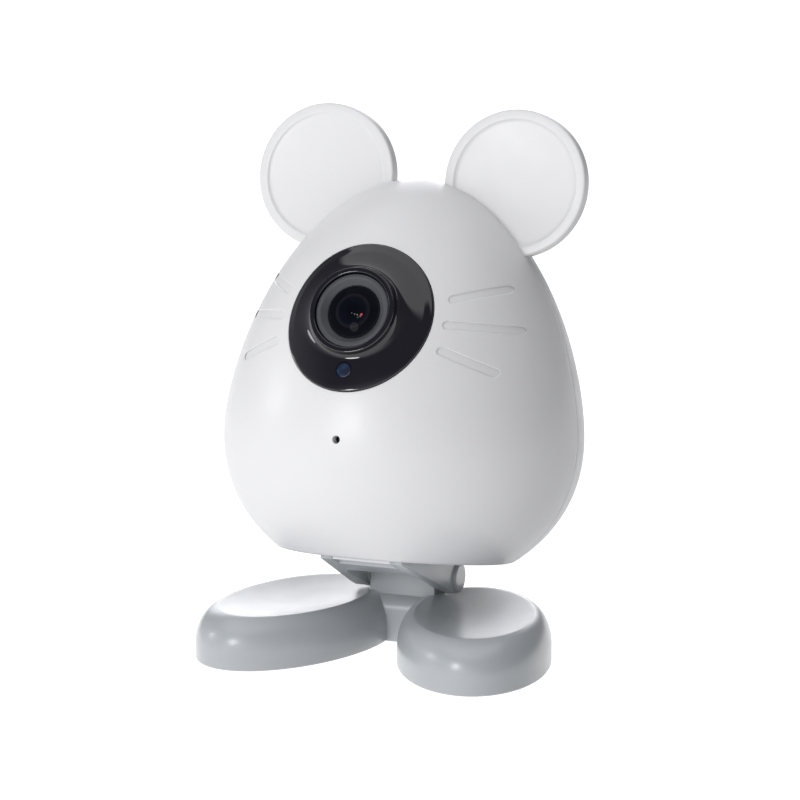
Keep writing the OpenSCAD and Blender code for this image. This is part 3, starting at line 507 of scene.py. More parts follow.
@dataclass(frozen=True)
class Egg:
    """Outside of the head about its upright axis, measured from the middle of its widest ring."""

    radius: float = 41.2
    dome: float = 58.4
    bowl: float = 35.5
    under: float = 27.6
    dome_power: float = 1.65
    bowl_power: float = 2.15
    under_round: float = 3.0
    least_round: float = 0.3
    columns: int = 132
    dome_rows: int = 64
    bowl_rows: int = 26
    slope_step: float = 0.05

    def ring(self, z: Array, inset: float = 0.0) -> Array:
        """Radius at a height.

        Args:
            z: Heights above the widest ring.
            inset: Depth of the surface below the outside.

        Returns:
            The radius at each height.
        """
        z = np.asarray(z, float)
        height = np.where(z < 0, self.bowl, self.dome) - inset
        power = np.where(z < 0, self.bowl_power, self.dome_power)
        return (self.radius - inset) * np.sqrt(np.maximum(0.0, 1 - (np.abs(z) / height) ** power))

    def profile(self, inset: float = 0.0) -> list[Point]:
        """Half outline from the middle of the underside to the top.

        Args:
            inset: Depth of the surface below the outside.

        Returns:
            Radius and height of each point, without the two points on the axis.
        """
        floor, rise = inset - self.under, self.slope_step
        rim = float(self.ring(floor, inset))
        lean = math.degrees(math.atan2(rise, float(self.ring(floor + rise, inset)) - rim))
        edge = max(self.least_round, self.under_round - inset)
        run = edge * math.tan(math.radians(lean / 2))
        bottom = floor + run * math.sin(math.radians(lean))
        flat = [(r, floor) for r in np.linspace(0, rim - run, 6)[1:-1]]
        bend = arc((rim - run, floor + edge), edge, -90, lean - 90, 8)
        bowl = [(float(self.ring(z, inset)), z) for z in np.linspace(bottom, 0, self.bowl_rows)[1:]]
        heights = (self.dome - inset) * np.sin(np.linspace(0, math.pi / 2, self.dome_rows)[1:-1])
        return flat + bend + bowl + [(float(self.ring(z, inset)), z) for z in heights]

    def whole(self, inset: float, place: Matrix) -> Form:
        """The full egg, set in from the outside."""
        bottom, top = (0.0, inset - self.under), (0.0, self.dome - inset)
        return revolved([bottom, *self.profile(inset), top], place, 2 * self.columns)

    def half(self, side: Side, seam: float, edge: float, place: Matrix) -> Form:
        """The part of the egg on one side of the seam, with a rounded edge there.

        Args:
            side: Which half.
            seam: Place of the seam along the head's Y axis.
            edge: Radius of the seam's edge.
            place: The head's frame.

        Returns:
            The form.
        """
        limit = side.value * seam
        rows = [p for p in self.profile() if p[0] > max(limit, 0) + 2 * edge]
        rings = []
        bends = np.linspace(0, math.pi / 2, 5)[1:]
        for radius, z in rows:
            reach = math.acos(max(-1.0, (limit + edge) / radius))
            angles = np.linspace(-reach, reach, self.columns)
            middle = [(radius * math.sin(a), radius * math.cos(a)) for a in angles]
            deep = [(limit + edge * (1 - math.sin(b)), radius - edge * (1 - math.cos(b))) for b in bends]
            rolled = [(math.sqrt(max(0.0, r * r - y * y)), y) for y, r in deep]
            ring = [(-x, y) for x, y in reversed(rolled)] + middle + rolled
            rings.append([(x, side.value * y, z) for x, y in ring])
        top = (0, 0, self.dome) if side is Side.FRONT else None
        return loft(np.array(rings), place, None, top)

    def hit(self, start: Array, direction: Sequence[float], inset: float = 0.0) -> Array:
        """Points at which lines that start inside leave the egg.

        Args:
            start: Points inside.
            direction: The lines' direction.
            inset: Depth of the surface below the outside.

        Returns:
            One point on the surface for each start.
        """
        start, along = np.asarray(start, float), np.asarray(direction, float)
        count = len(start)

        def inside(distance: Array) -> Array:
            """Whether the points at these distances lie in the egg."""
            at = start + distance[:, None] * along
            return np.hypot(at[:, 0], at[:, 1]) < self.ring(at[:, 2], inset)

        return start + furthest(inside, np.zeros(count), np.full(count, 2 * self.dome))[:, None] * along

    def normal(self, points: Array) -> Array:
        """Outward directions at points on the surface.

        Args:
            points: The points.

        Returns:
            One unit vector for each.
        """
        step = self.slope_step
        around = np.hypot(points[:, 0], points[:, 1])
        slope = (self.ring(points[:, 2] + step) - self.ring(points[:, 2] - step)) / (2 * step)
        return unit(np.column_stack([points[:, 0] / around, points[:, 1] / around, -slope]))

    def mouth(self, loop: Array, outward: Array, direction: Sequence[float], size: float,
              place: Matrix) -> Form:
        """Tool that rounds the edge of a straight hole in the egg.

        Args:
            loop: Points inside the egg, one on each line of the hole's wall.
            outward: Directions away from the hole, one for each point.
            direction: The hole's direction, out of the egg.
            size: Radius of the rounding.
            place: The head's frame.

        Returns:
            The tool.
        """
        edge = self.hit(loop, direction)
        normal = self.normal(edge)
        away = unit(outward - (outward * normal).sum(1)[:, None] * normal)
        inward = np.broadcast_to(-np.asarray(direction, float), edge.shape)
        return edge_round(edge, away, inward, size, place)


@dataclass(frozen=True)
class Frames:
    """Frames in which the head's pieces are drawn."""

    tilt: float = 10.9
    hinge_back: float = 8.2
    hinge_drop: float = 4.5
    window_up: float = 24.0
    window_tilt: float = 2.5
    lens_up: float = 16.7
    lens_tilt: float = 15.3

    @property
    def hinge(self) -> Vector:
        """Middle of the head's hinge."""
        joint = next(j for j in frame["joints"] if j["name"] == "head_tilt")
        return Vector(joint["pos_m"]) / MM

    def head(self, egg: Egg) -> Matrix:
        """Frame of the upright head, leaned back on its hinge."""
        rise = shifted(y=-self.hinge_back, z=egg.under + self.hinge_drop)
        return Matrix.Translation(self.hinge) @ turned(-self.tilt, "X") @ rise

    @property
    def axle(self) -> Matrix:
        """Frame whose Z axis is the hinge pin's."""
        return Matrix.Translation(self.hinge) @ turned(90, "Y")

    @property
    def window(self) -> Matrix:
        """Frame of the window's axis in the head."""
        return shifted(z=self.window_up) @ turned(90 - self.window_tilt, "X")

    @property
    def lens(self) -> Matrix:
        """Frame of the lens axis in the head."""
        return shifted(z=self.lens_up) @ turned(90 - self.lens_tilt, "X")


EGG = Egg()
FRAMES = Frames()
HEAD = FRAMES.head(EGG)
LENS = HEAD @ FRAMES.lens
BACK_VIEW = turned(-90, "X")
SIDE_VIEW = turned(90, "Z") @ turned(90, "X")
# Radius of the hole for the hinge pin
PIN_R = 1.55


def ring_of(radius: float, steps: int = 40) -> tuple[Array, Array]:
    """Circle about the local Z axis.

    Args:
        radius: Its radius.
        steps: Number of points.

    Returns:
        Its points, and the directions away from its middle.
    """
    angles = np.arange(steps) * 2 * math.pi / steps
    away = np.column_stack([np.cos(angles), np.sin(angles), np.zeros(steps)])
    return radius * away, away


def outline_ring(outline: Sequence[Point]) -> tuple[Array, Array]:
    """Outline about the local Z axis.

    Args:
        outline: Points, counter-clockwise, none of them repeated.

    Returns:
        The points, and the directions away from the outline's inside.
    """
    points = np.array(outline, float)
    along = np.roll(points, -1, 0) - np.roll(points, 1, 0)
    away = unit(np.column_stack([along[:, 1], -along[:, 0]]))
    zero = np.zeros(len(points))
    return np.column_stack([points, zero]), np.column_stack([away, zero])


# Shader graphs


def operator(operation: str, swapped: bool = False) -> Callable[["Signal", "Operand"], "Signal"]:
    """Method of one Python operator.

    Args:
        operation: Name of the operation that it stands for.
        swapped: Whether it is the reflected form, with the other value first.

    Returns:
        The method.
    """

    def method(self: "Signal", other: "Operand") -> "Signal":
        """Adds the operator's node."""
        return self.combined(operation, (other, self) if swapped else (self, other))

    return method


class Signal:
    """A shader socket that takes part in Python arithmetic: each operator adds its node."""

    def __init__(self, graph: "Graph", socket: bpy.types.NodeSocket) -> None:
        """Wraps a socket of a graph."""
        self.graph = graph
        self.socket = socket

    def combined(self, operation: str, pair: tuple["Operand", "Operand"]) -> "Signal":
        """Adds the node of one operation.

        Args:
            operation: Name of the operation.
            pair: Its two values.

        Returns:
            The result.
        """
        kinds = {p.socket.type for p in pair if isinstance(p, Signal)}
        if "RGBA" in kinds:
            settings = {"data_type": "RGBA", "blend_type": operation}
            return self.graph.node("ShaderNodeMix", settings, {0: 1.0, 6: pair[0], 7: pair[1]}, output=2)
        kind = "ShaderNodeVectorMath" if "VECTOR" in kinds else "ShaderNodeMath"
        return self.graph.node(kind, {"operation": operation}, {0: pair[0], 1: pair[1]})

    __add__, __radd__ = operator("ADD"), operator("ADD", swapped=True)
    __sub__, __rsub__ = operator("SUBTRACT"), operator("SUBTRACT", swapped=True)
    __mul__, __rmul__ = operator("MULTIPLY"), operator("MULTIPLY", swapped=True)
    __pow__, __rpow__ = operator("POWER"), operator("POWER", swapped=True)
    __lt__, __gt__ = operator("LESS_THAN"), operator("LESS_THAN", swapped=True)


Operand = Union[Signal, float, Sequence[float]]


class Graph:
    """Nodes of one material or room round the shader that they feed."""

    def __init__(self, owner: Union[bpy.types.Material, bpy.types.World]) -> None:
        """Starts with the owner's own shader.

        Args:
            owner: A new material or room.
        """
        owner.use_nodes = True
        self.tree = owner.node_tree
        self.surface = next(n for n in self.tree.nodes if n.type in {"BSDF_PRINCIPLED", "BACKGROUND"})

    def feed(self, socket: bpy.types.NodeSocket, value: Operand) -> None:
        """Links a signal to a socket, or sets the socket's own value.

        Args:
            socket: The socket.
            value: A signal, a number, a vector or a colour.
        """
        if isinstance(value, Signal):
            self.tree.links.new(value.socket, socket)
            return
        if socket.type == "RGBA" and len(value) == 3:
            value = (*value, 1.0)
        socket.default_value = value

    def node(self, kind: str, settings: Optional[Mapping[str, Any]] = None,
             sockets: Optional[Mapping[Key, Operand]] = None, output: Key = 0) -> Signal:
        """Adds a node.

        Args:
            kind: Blender's name of the node's type.
            settings: Properties, set first. "stops" holds a ramp's places and colours.
            sockets: Values or links of its inputs, by name or number.
            output: The output that is used, by name or number.

        Returns:
            That output.
        """
        made = self.tree.nodes.new(kind)
        for key, value in (settings or {}).items():
            if key != "stops":
                setattr(made, key, value)
                continue
            stops = made.color_ramp.elements
            while len(stops) < len(value):
                stops.new(1.0)
            for stop, (place, colour) in zip(stops, value):
                stop.position = place
                stop.color = (*colour, 1.0)
        for key, value in (sockets or {}).items():
            self.feed(made.inputs[key], value)
        return Signal(self, made.outputs[output])

    def set(self, **values: Operand) -> None:
        """Sets inputs of the surface, with underscores for the spaces in their names."""
        for key, value in values.items():
            self.feed(self.surface.inputs[key.replace("_", " ").title().replace("Ior", "IOR")], value)

    def where(self) -> Signal:
        """Place on the object, in metres."""
        return self.node("ShaderNodeTexCoord", output="Object")

    def noise(self, size: float, detail: float = 2.0, at: Optional[Signal] = None) -> Signal:
        """Soft noise from 0 to 1.

        Args:
            size: Width of its features in millimetres.
            detail: Number of finer layers.
            at: Place that it is read at.

        Returns:
            The noise.
        """
        sockets = {"Vector": at or self.where(), "Scale": 1 / (size * MM), "Detail": detail}
        return self.node("ShaderNodeTexNoise", {}, sockets)

    def along(self, vector: Signal, direction: Sequence[float]) -> Signal:
        """Length of a vector along a direction."""
        sockets = {0: vector, 1: tuple(direction)}
        return self.node("ShaderNodeVectorMath", {"operation": "DOT_PRODUCT"}, sockets, "Value")

    def between(self, low: Operand, high: Operand, mask: Operand) -> Signal:
        """Colour that goes from low to high as the mask goes from 0 to 1."""
        return self.node("ShaderNodeMix", {"data_type": "RGBA"}, {0: mask, 6: low, 7: high}, output=2)

    def step(self, value: Signal, low: float, high: float) -> Signal:
        """Smooth step from 0 to 1 as a value goes from low to high."""
        sockets = {"Value": value, "From Min": low, "From Max": high}
        return self.node("ShaderNodeMapRange", {"interpolation_type": "SMOOTHSTEP"}, sockets)

    def bump(self, height: Signal, depth: float) -> None:
        """Fine relief of the surface.

        Args:
            height: Height from 0 to 1.
            depth: Depth of the relief in millimetres.
        """
        sockets = {"Strength": 1.0, "Distance": depth * MM, "Height": height}
        self.set(normal=self.node("ShaderNodeBump", {}, sockets))


# Finishes

# Width of one band of the wave texture at a scale of one
WAVE_PERIOD = 0.314


@dataclass(frozen=True)
class Finish:
    """Finish of one kind of surface, which its subclasses dress."""

    colour: Colour
    roughness: float = 0.4

    def dress(self, graph: Graph) -> None:
        """Adds the finish's own nodes."""
        raise NotImplementedError


@dataclass(frozen=True)
class Moulded(Finish):
    """Moulded plastic: a fine even grain, faint flow marks and a trace of handling in its gloss."""

    flow_size: float = 26.0
    cloud_size: float = 5.0
    mottle: float = 0.03
    handling: float = 0.08
    grain: float = 0.16
    grain_depth: float = 0.004
    coat: float = 0.0
    coat_roughness: float = 0.12

    def dress(self, graph: Graph) -> None:
        """Adds the finish's nodes.

        Args:
            graph: Nodes of a new material.
        """
        flow = graph.noise(self.flow_size, 3.0)
        cloud = graph.noise(self.cloud_size, 4.0)
        dark = tuple(c * (1 - self.mottle) for c in self.colour)
        mask = graph.step(flow * 0.7 + cloud * 0.3, 0.32, 0.62)
        graph.set(base_color=graph.between(dark, self.colour, mask))
        graph.set(roughness=self.roughness - self.handling / 2 + self.handling * graph.step(cloud, 0.3, 0.7))
        graph.set(coat_weight=self.coat, coat_roughness=self.coat_roughness)
        graph.bump(graph.noise(self.grain, 1.0), self.grain_depth)


@dataclass(frozen=True)
class GlossPanel(Finish):
    """Polished dark plastic that passes infrared, with dust specks and faint wiping marks."""

    dust: Colour = (0.16, 0.16, 0.17)
    dust_share: float = 0.5
    dust_dull: float = 0.3
    speck_scale: float = 420.0
    speck_r: float = 0.09
    patch_size: float = 3.5
    wipe_size: float = 9.0
    wipe_dull: float = 0.02
    coat: float = 0.25
    coat_roughness: float = 0.02

    def dress(self, graph: Graph) -> None:
        """Adds the finish's nodes.

        Args:
            graph: Nodes of a new material.
        """
        sockets = {"Vector": graph.where(), "Scale": self.speck_scale}
        specks = graph.node("ShaderNodeTexVoronoi", {"feature": "F1"}, sockets)
        patches = graph.step(graph.noise(self.patch_size, 1.0), 0.56, 0.72)
        dust = (specks < self.speck_r) * patches
        wiped = graph.step(graph.noise(self.wipe_size, 4.0), 0.45, 0.75)
        graph.set(base_color=graph.between(self.colour, self.dust, dust * self.dust_share))
        graph.set(roughness=self.roughness + self.wipe_dull * wiped + self.dust_dull * dust)
        graph.set(coat_weight=self.coat, coat_roughness=self.coat_roughness)


@dataclass(frozen=True)
class CoatedGlass(Finish):
    """Front element of a lens: nearly black, with painted reflections: faint rings of the inner elements and small
    coloured glints about the lens axis.
    """

    reach: float = 6.0
    # Painted reflections of the inner lens elements, as colours by distance from the lens axis
    rings: tuple[tuple[float, Colour], ...] = (
        (0.5, (0.004, 0.005, 0.009)),
        (0.62, (0.012, 0.011, 0.016)),
        (0.68, (0.004, 0.004, 0.006)),
        (0.93, (0.005, 0.006, 0.009)),
        (1.0, (0.02, 0.021, 0.024)),
    )
    # Painted glints: across, over, size and colour of each spot of reflected light
    painted_glints: tuple[tuple[float, float, float, Colour], ...] = (
        (2.3, -0.8, 0.34, (0.6, 0.08, 0.1)),
        (2.1, -1.2, 0.26, (0.3, 0.1, 0.09)),
        (1.4, -0.95, 0.24, (0.13, 0.2, 0.12)),
        (0.8, -0.85, 0.2, (0.16, 0.2, 0.16)),
        (0.1, -0.65, 0.18, (0.09, 0.14, 0.1)),
        (1.6, -1.5, 0.3, (0.04, 0.07, 0.035)),
    )
    painted_glint_core: float = 0.4
    smear: float = 0.03
    smear_size: float = 2.0
    specular: float = 0.012

    def dress(self, graph: Graph) -> None:
        """Adds the finish's nodes.

        Args:
            graph: Nodes of a new material.
        """
        place = graph.where() - tuple(LENS.translation * MM)
        x, y = (graph.along(place, facing(v, LENS) / MM) for v in ((1, 0, 0), (0, 1, 0)))
        radius = (x * x + y * y) ** 0.5
        # The ramp paints the reflections of the inner elements as rings about the lens axis
        stops = ((0.0, self.colour), *self.rings)
        tint = graph.node("ShaderNodeValToRGB", {"stops": stops}, {"Fac": radius * (1 / self.reach)})
        # Painted glints: coloured spots of reflected light mixed over the ring colours
        for across, over, size, colour in self.painted_glints:
            off = ((x - across) * (x - across) + (y - over) * (y - over)) ** 0.5
            tint = graph.between(colour, tint, graph.step(off, self.painted_glint_core * size, size))
        graph.set(base_color=tint)
        graph.set(roughness=self.roughness + self.smear * graph.noise(self.smear_size))
        graph.set(specular_ior_level=self.specular)


@dataclass(frozen=True)
class Tinted(Finish):
    """Small moulded lens in a clear tint, with a paler painted glow where light would gather."""

    # Painted glow: paler colour where light would gather, and the size of its patches
    painted_glow: Colour = (0.1, 0.2, 0.5)
    painted_glow_size: float = 2.2
    wear: float = 0.04
    wear_size: float = 1.0
    coat: float = 1.0
    coat_roughness: float = 0.05

    def dress(self, graph: Graph) -> None:
        """Adds the finish's nodes.

        Args:
            graph: Nodes of a new material.
        """
        # Painted glow: a paler patch of light mixed into the tint at random places
        painted_glow_mask = graph.step(graph.noise(self.painted_glow_size, 0.0), 0.3, 0.8)
        graph.set(base_color=graph.between(self.colour, self.painted_glow, painted_glow_mask))
        graph.set(roughness=self.roughness + self.wear * graph.noise(self.wear_size))
        graph.set(coat_weight=self.coat, coat_roughness=self.coat_roughness)


@dataclass(frozen=True)
class Metal(Finish):
    """Bare or plated metal with fine drawing lines and a little tarnish."""

    line: float = 0.12
    line_squeeze: tuple[float, float, float] = (1.0, 6.0, 1.0)
    line_dull: float = 0.15
    line_depth: float = 0.004
    tarnish: Colour = (0.32, 0.31, 0.3)
    tarnish_size: float = 3.0
    tarnish_share: float = 0.5
    tarnish_dull: float = 0.1

    def dress(self, graph: Graph) -> None:
        """Adds the finish's nodes.

        Args:
            graph: Nodes of a new material.
        """
        lines = graph.noise(self.line, 3.0, graph.where() * self.line_squeeze)
        stain = graph.step(graph.noise(self.tarnish_size, 4.0), 0.5, 0.8)
        tint = graph.between(self.colour, self.tarnish, stain * self.tarnish_share)
        graph.set(base_color=tint, metallic=1.0)
        graph.set(roughness=self.roughness + self.line_dull * lines + self.tarnish_dull * stain)
        graph.bump(lines, self.line_depth)


@dataclass(frozen=True)
class Circuit(Finish):
    """Solder mask over copper tracks, with tinned pads."""

    track: Colour = (0.03, 0.16, 0.07)
    track_scale: float = 240.0
    track_bend: float = 3.0
    pad: Colour = (0.62, 0.6, 0.55)
    pad_scale: float = 320.0
    pad_r: float = 0.16
    pad_metal: float = 0.8
    pad_shine: float = 0.1
    relief: float = 0.03

    def dress(self, graph: Graph) -> None:
        """Adds the finish's nodes.

        Args:
            graph: Nodes of a new material.
        """
        place = graph.where()
        settings = {"feature": "F1", "distance": "MANHATTAN"}
        cells = graph.node("ShaderNodeTexVoronoi", settings, {"Vector": place, "Scale": self.pad_scale})
        pads = cells < self.pad_r
        sockets = {"Vector": place, "Scale": self.track_scale, "Distortion": self.track_bend, "Detail": 1.0}
        wave = graph.node("ShaderNodeTexWave", {"bands_direction": "DIAGONAL"}, sockets, "Fac")
        tracks = graph.step(wave, 0.6, 0.7)
        graph.set(base_color=graph.between(graph.between(self.colour, self.track, tracks), self.pad, pads))
        graph.set(metallic=pads * self.pad_metal, roughness=self.roughness - self.pad_shine * pads)
        graph.bump(tracks * 0.5 + pads * 0.5, self.relief)


@dataclass(frozen=True)
class Rubber(Finish):
    """Soft rubber or foam: dull, with a fine open grain."""

    grain: float = 0.3
    grain_dull: float = 0.12
    pale: Colour = (0.12, 0.12, 0.125)
    pale_size: float = 4.0
    pale_share: float = 0.4
    relief: float = 0.03

    def dress(self, graph: Graph) -> None:
        """Adds the finish's nodes.

        Args:
            graph: Nodes of a new material.
        """
        grain = graph.noise(self.grain, 3.0)
        bloom = graph.step(graph.noise(self.pale_size, 3.0), 0.45, 0.75)
        graph.set(base_color=graph.between(self.colour, self.pale, bloom * self.pale_share))
        graph.set(roughness=self.roughness + self.grain_dull * grain)
        graph.bump(grain, self.relief)


@dataclass(frozen=True)
class Fibre(Finish):
    """Pressed paper of a speaker cone, with its fibres showing."""

    fibre: Colour = (0.16, 0.155, 0.15)
    fibre_size: float = 0.5
    fibre_squeeze: tuple[float, float, float] = (1.0, 1.0, 5.0)
    fibre_shine: float = 0.1
    relief: float = 0.05

    def dress(self, graph: Graph) -> None:
        """Adds the finish's nodes.

        Args:
            graph: Nodes of a new material.
        """
        strands = graph.noise(self.fibre_size, 5.0, graph.where() * self.fibre_squeeze)
        graph.set(base_color=graph.between(self.colour, self.fibre, graph.step(strands, 0.4, 0.7)))
        graph.set(roughness=self.roughness - self.fibre_shine * strands)
        graph.bump(strands, self.relief)


@dataclass(frozen=True)
class Striped(Finish):
    """Rows of wires or conductors that run the same way, such as a winding or a flat cable."""

    gap: Colour = (0.2, 0.08, 0.03)
    gap_dull: float = 0.15
    pitch: float = 0.4
    metallic: float = 0.0
    relief: float = 0.06

    def dress(self, graph: Graph) -> None:
        """Adds the finish's nodes.

        Args:
            graph: Nodes of a new material.
        """
        sockets = {"Vector": graph.where(), "Scale": WAVE_PERIOD / (self.pitch * MM), "Distortion": 0.0}
        wave = graph.node("ShaderNodeTexWave", {"bands_direction": "X"}, sockets, "Fac")
        graph.set(base_color=graph.between(self.gap, self.colour, graph.step(wave, 0.1, 0.5)))
        graph.set(metallic=self.metallic, roughness=self.roughness + self.gap_dull * (1 - wave))
        graph.bump(wave, self.relief)


FINISHES: Mapping[Slot, Finish] = {
    Slot.HEAD_WHITE: Moulded((0.714, 0.712, 0.717), 0.4, mottle=0.012, grain_depth=0.0012, coat=0.12,
                             coat_roughness=0.22),
    Slot.WINDOW_BLACK: GlossPanel((0.0055, 0.005, 0.0095), 0.02),
    # The tinted finishes carry a paler painted glow as their second colour
    Slot.INDICATOR_BLUE: Tinted((0.004, 0.008, 0.026), 0.12, painted_glow=(0.006, 0.036, 0.09), painted_glow_size=1.6),
    Slot.MATTE_BLACK: Moulded((0.05, 0.052, 0.058), 0.5, mottle=0.12, grain_depth=0.006),
    Slot.LENS_GLASS: CoatedGlass((0.003, 0.003, 0.005), 0.03),
    Slot.FILTER_TINT: Tinted((0.02, 0.1, 0.22), 0.08, painted_glow=(0.08, 0.24, 0.4)),
    Slot.BOARD_GREEN: Circuit((0.012, 0.11, 0.05), 0.38),
    Slot.SENSOR_DARK: Moulded((0.02, 0.023, 0.03), 0.2, coat=0.5),
    Slot.BARE_STEEL: Metal((0.6, 0.61, 0.63), 0.26),
    Slot.MAGNET_GREY: Metal((0.42, 0.43, 0.45), 0.34),
    Slot.COIL_COPPER: Striped((0.7, 0.32, 0.12), 0.3, metallic=1.0),
    Slot.ANTENNA_GOLD: Metal((0.75, 0.48, 0.16), 0.28, tarnish=(0.4, 0.24, 0.1)),
    Slot.RIBBON: Striped((0.72, 0.74, 0.78), 0.4, gap=(0.5, 0.52, 0.56), pitch=0.8),
    Slot.SOFT_RUBBER: Rubber((0.05, 0.05, 0.053), 0.72),
    Slot.CONE_PAPER: Fibre((0.06, 0.06, 0.064), 0.85),
    Slot.LAMP_SMOKE: Tinted((0.03, 0.024, 0.05), 0.1, painted_glow=(0.08, 0.05, 0.1)),
    Slot.BUTTON_GREY: Moulded((0.3, 0.32, 0.335), 0.4),
    Slot.STAND_GREY: Moulded((0.385, 0.408, 0.422), 0.42, mottle=0.03, grain_depth=0.0012, coat=0.8,
                             coat_roughness=0.25),
    Slot.SOLE_GREY: Moulded((0.26, 0.28, 0.29), 0.5, mottle=0.06, grain_depth=0.012),
    Slot.WASHER_CREAM: Moulded((0.5, 0.49, 0.45), 0.42, mottle=0.06),
}


def material_of(slot: Slot) -> bpy.types.Material:
    """Material of a slot, made at its first use.

    Args:
        slot: The slot.

    Returns:
        Its material.
    """
    name = f"{slot.value}_finish"
    made = bpy.data.materials.get(name)
    if made is None:
        made = bpy.data.materials.new(name)
        FINISHES[slot].dress(Graph(made))
    return made


# Head


@dataclass
class HeadShell:
    """Both white shells of the head, with the ears, the whisker grooves and the holes."""

    wall: float = 2.2
    front_seam: float = 1.1
    rear_seam: float = 1.4
    seam_edge: float = 0.2
    lip_t: float = 1.0
    lip_reach: float = 2.0
    lip_fit: float = 0.1
    ear_r: float = 16.7
    ear_x: float = 23.0
    ear_up: float = 58.3
    ear_t: float = 3.3
    ear_rim: float = 2.1
    ear_dish: float = 1.0
    ear_step: float = 0.45
    ear_bends: Point = (0.4, 0.7)
    ear_soft: float = 0.2
    ear_edge: float = 0.5
    ear_back_edge: float = 0.25
    whisker_w: float = 1.85
    whisker_depth: float = 0.34
    whisker_x: float = 18.7
    whisker_up: float = 25.0
    whisker_pitch: float = 5.4
    whisker_fan: float = 21.4
    whisker_lengths: tuple[float, float, float] = (12.4, 13.9, 10.6)
    window_r: float = 16.7
    mic_up: float = -1.3
    mic_r: float = 0.85
    tab: tuple[float, float, float, float] = (13.8, 21.6, 17.2, 0.8)
    hole_edge: float = 0.16
    groove_edge: float = 0.26
    screw_places: tuple[Point, ...] = ((25.5, 24.0), (-25.5, 24.0), (25.0, -17.0), (-25.0, -17.0))
    well_r: float = 2.2
    well_floor: float = 5.4
    grille_up: float = 15.0
    grille_r: float = 0.85
    grille_pitch: float = 3.2
    grille_rings: int = 3
    recess_up: float = -11.4
    recess_back: float = 35.0
    recess_size: tuple[float, float, float] = (37.0, 10.5, 2.5)
    recess_edge: float = 0.4
    port_reach: float = 12.0
    usb: tuple[float, float, float] = (8.6, 9.5, 3.8)
    card: tuple[float, float, float, float] = (-9.5, -12.1, 12.0, 1.8)
    card_corner: float = 0.3
    button: tuple[float, float] = (15.9, 1.7)

    def ear(self, side: int) -> Form:
        """One dished ear, flush with the seam at its back.

        Args:
            side: -1 for the ear at negative X, else 1.

        Returns:
            The ear.
        """
        top, step, reach = self.ear_t, self.ear_step, self.ear_r - self.ear_rim
        inner, sag = reach - step, self.ear_dish - step
        bowl = cap_radius(inner, sag)
        radii = np.linspace(0, inner, 30)
        dish = [(r, top + bowl - self.ear_dish - math.sqrt(bowl**2 - r * r)) for r in radii]
        foot, shoulder = ((inner + share * step, top - (1 - share) * step) for share in self.ear_bends)
        wall = eased(dish[-2], dish[-1], foot) + eased(shoulder, (reach, top), (reach + self.ear_soft, top))
        bend = arc((self.ear_r - self.ear_edge, top - self.ear_edge), self.ear_edge, 90, 0, 6)
        back = [(self.ear_r, self.ear_back_edge), (self.ear_r - self.ear_back_edge, 0.0), (0.0, 0.0)]
        place = HEAD @ shifted(side * self.ear_x, self.front_seam, self.ear_up) @ turned(90, "X")
        return revolved(dish[:-2] + wall + bend + back, place, 144)

    def whiskers(self) -> list[tuple[Array, Array]]:
        """Outlines of the six grooves.

        Returns:
            Points in the head's frame and directions away from the groove, for each groove.
        """
        found = []
        for side in (-1, 1):
            for row, length in zip((-1, 0, 1), self.whisker_lengths):
                lean = row * self.whisker_fan if side > 0 else 180 - row * self.whisker_fan
                start = shifted(side * self.whisker_x, 0, self.whisker_up + row * self.whisker_pitch)
                place = start @ turned(90, "X") @ turned(lean, "Z") @ shifted(length / 2)
                points, away = outline_ring(stadium(length, self.whisker_w, steps=16, along=14))
                found.append((moved(points, place), facing(away, place)))
        return found

    def front(self) -> Form:
        """Front shell with its ears.

        Returns:
            The shell.
        """
        shell = EGG.half(Side.FRONT, self.front_seam, self.seam_edge, HEAD)
        shell.join(self.ear(-1), self.ear(1))
        shell.cut(EGG.whole(self.wall, HEAD))
        width, front, back, deep = self.tab
        low, high = (-width / 2, -front, -EGG.under - deep), (width / 2, -back, self.wall / 2 - EGG.under)
        shell.join(block(low, high, HEAD).soften(self.hole_edge))
        grooves = self.whiskers()
        bars = apart([bar(points, FORWARD, HEAD) for points, _ in grooves])
        edges = [EGG.mouth(points, away, FORWARD, self.groove_edge, HEAD) for points, away in grooves]
        shell.cut(bars.cut(EGG.whole(self.whisker_depth, HEAD)), apart(edges))
        mic = shifted(z=self.mic_up) @ turned(90, "X")
        bores = [self.bore(FRAMES.window, self.window_r, 128), self.bore(mic, self.mic_r, 40)]
        return self.bored(shell, bores)

    def bore(self, place: Matrix, radius: float, steps: int, start: float = 8.0) -> tuple[Form, Form]:
        """Tools for a round hole.

        Args:
            place: Frame in the head whose Z axis is the hole's.
            radius: The hole's radius.
            steps: Points round it.
            start: Height on that axis at which the hole begins.

        Returns:
            The hole, and the rounding of its edge.
        """
        circle, away = ring_of(radius, steps)
        axis, inside = facing(UP, place), moved(circle + (0, 0, start), place)
        return bar(inside, axis, HEAD), EGG.mouth(inside, facing(away, place), axis, self.hole_edge, HEAD)

    def bored(self, shell: Form, bores: Sequence[tuple[Form, Form]]) -> Form:
        """Cuts round holes in a shell.

        Args:
            shell: The shell.
            bores: Holes that don't touch, each with its rounding.

        Returns:
            The shell.
        """
        return shell.cut(apart([hole for hole, _ in bores]), apart([edge for _, edge in bores]))

    def lip(self) -> Form:
        """Rim inside the rear shell that closes the seam from within.

        Returns:
            The rim, with its root in the shell's wall.
        """
        seam, inset = self.rear_seam, self.wall + self.lip_fit
        near, far = seam - self.lip_reach, seam + self.lip_reach
        tongue = EGG.whole(inset, HEAD).keep(block((-FAR, near, -FAR), (FAR, far, FAR), HEAD))
        root = EGG.whole(self.wall / 2, HEAD).keep(block((-FAR, seam, -FAR), (FAR, far, FAR), HEAD))
        return tongue.join(root).cut(EGG.whole(inset + self.lip_t, HEAD))

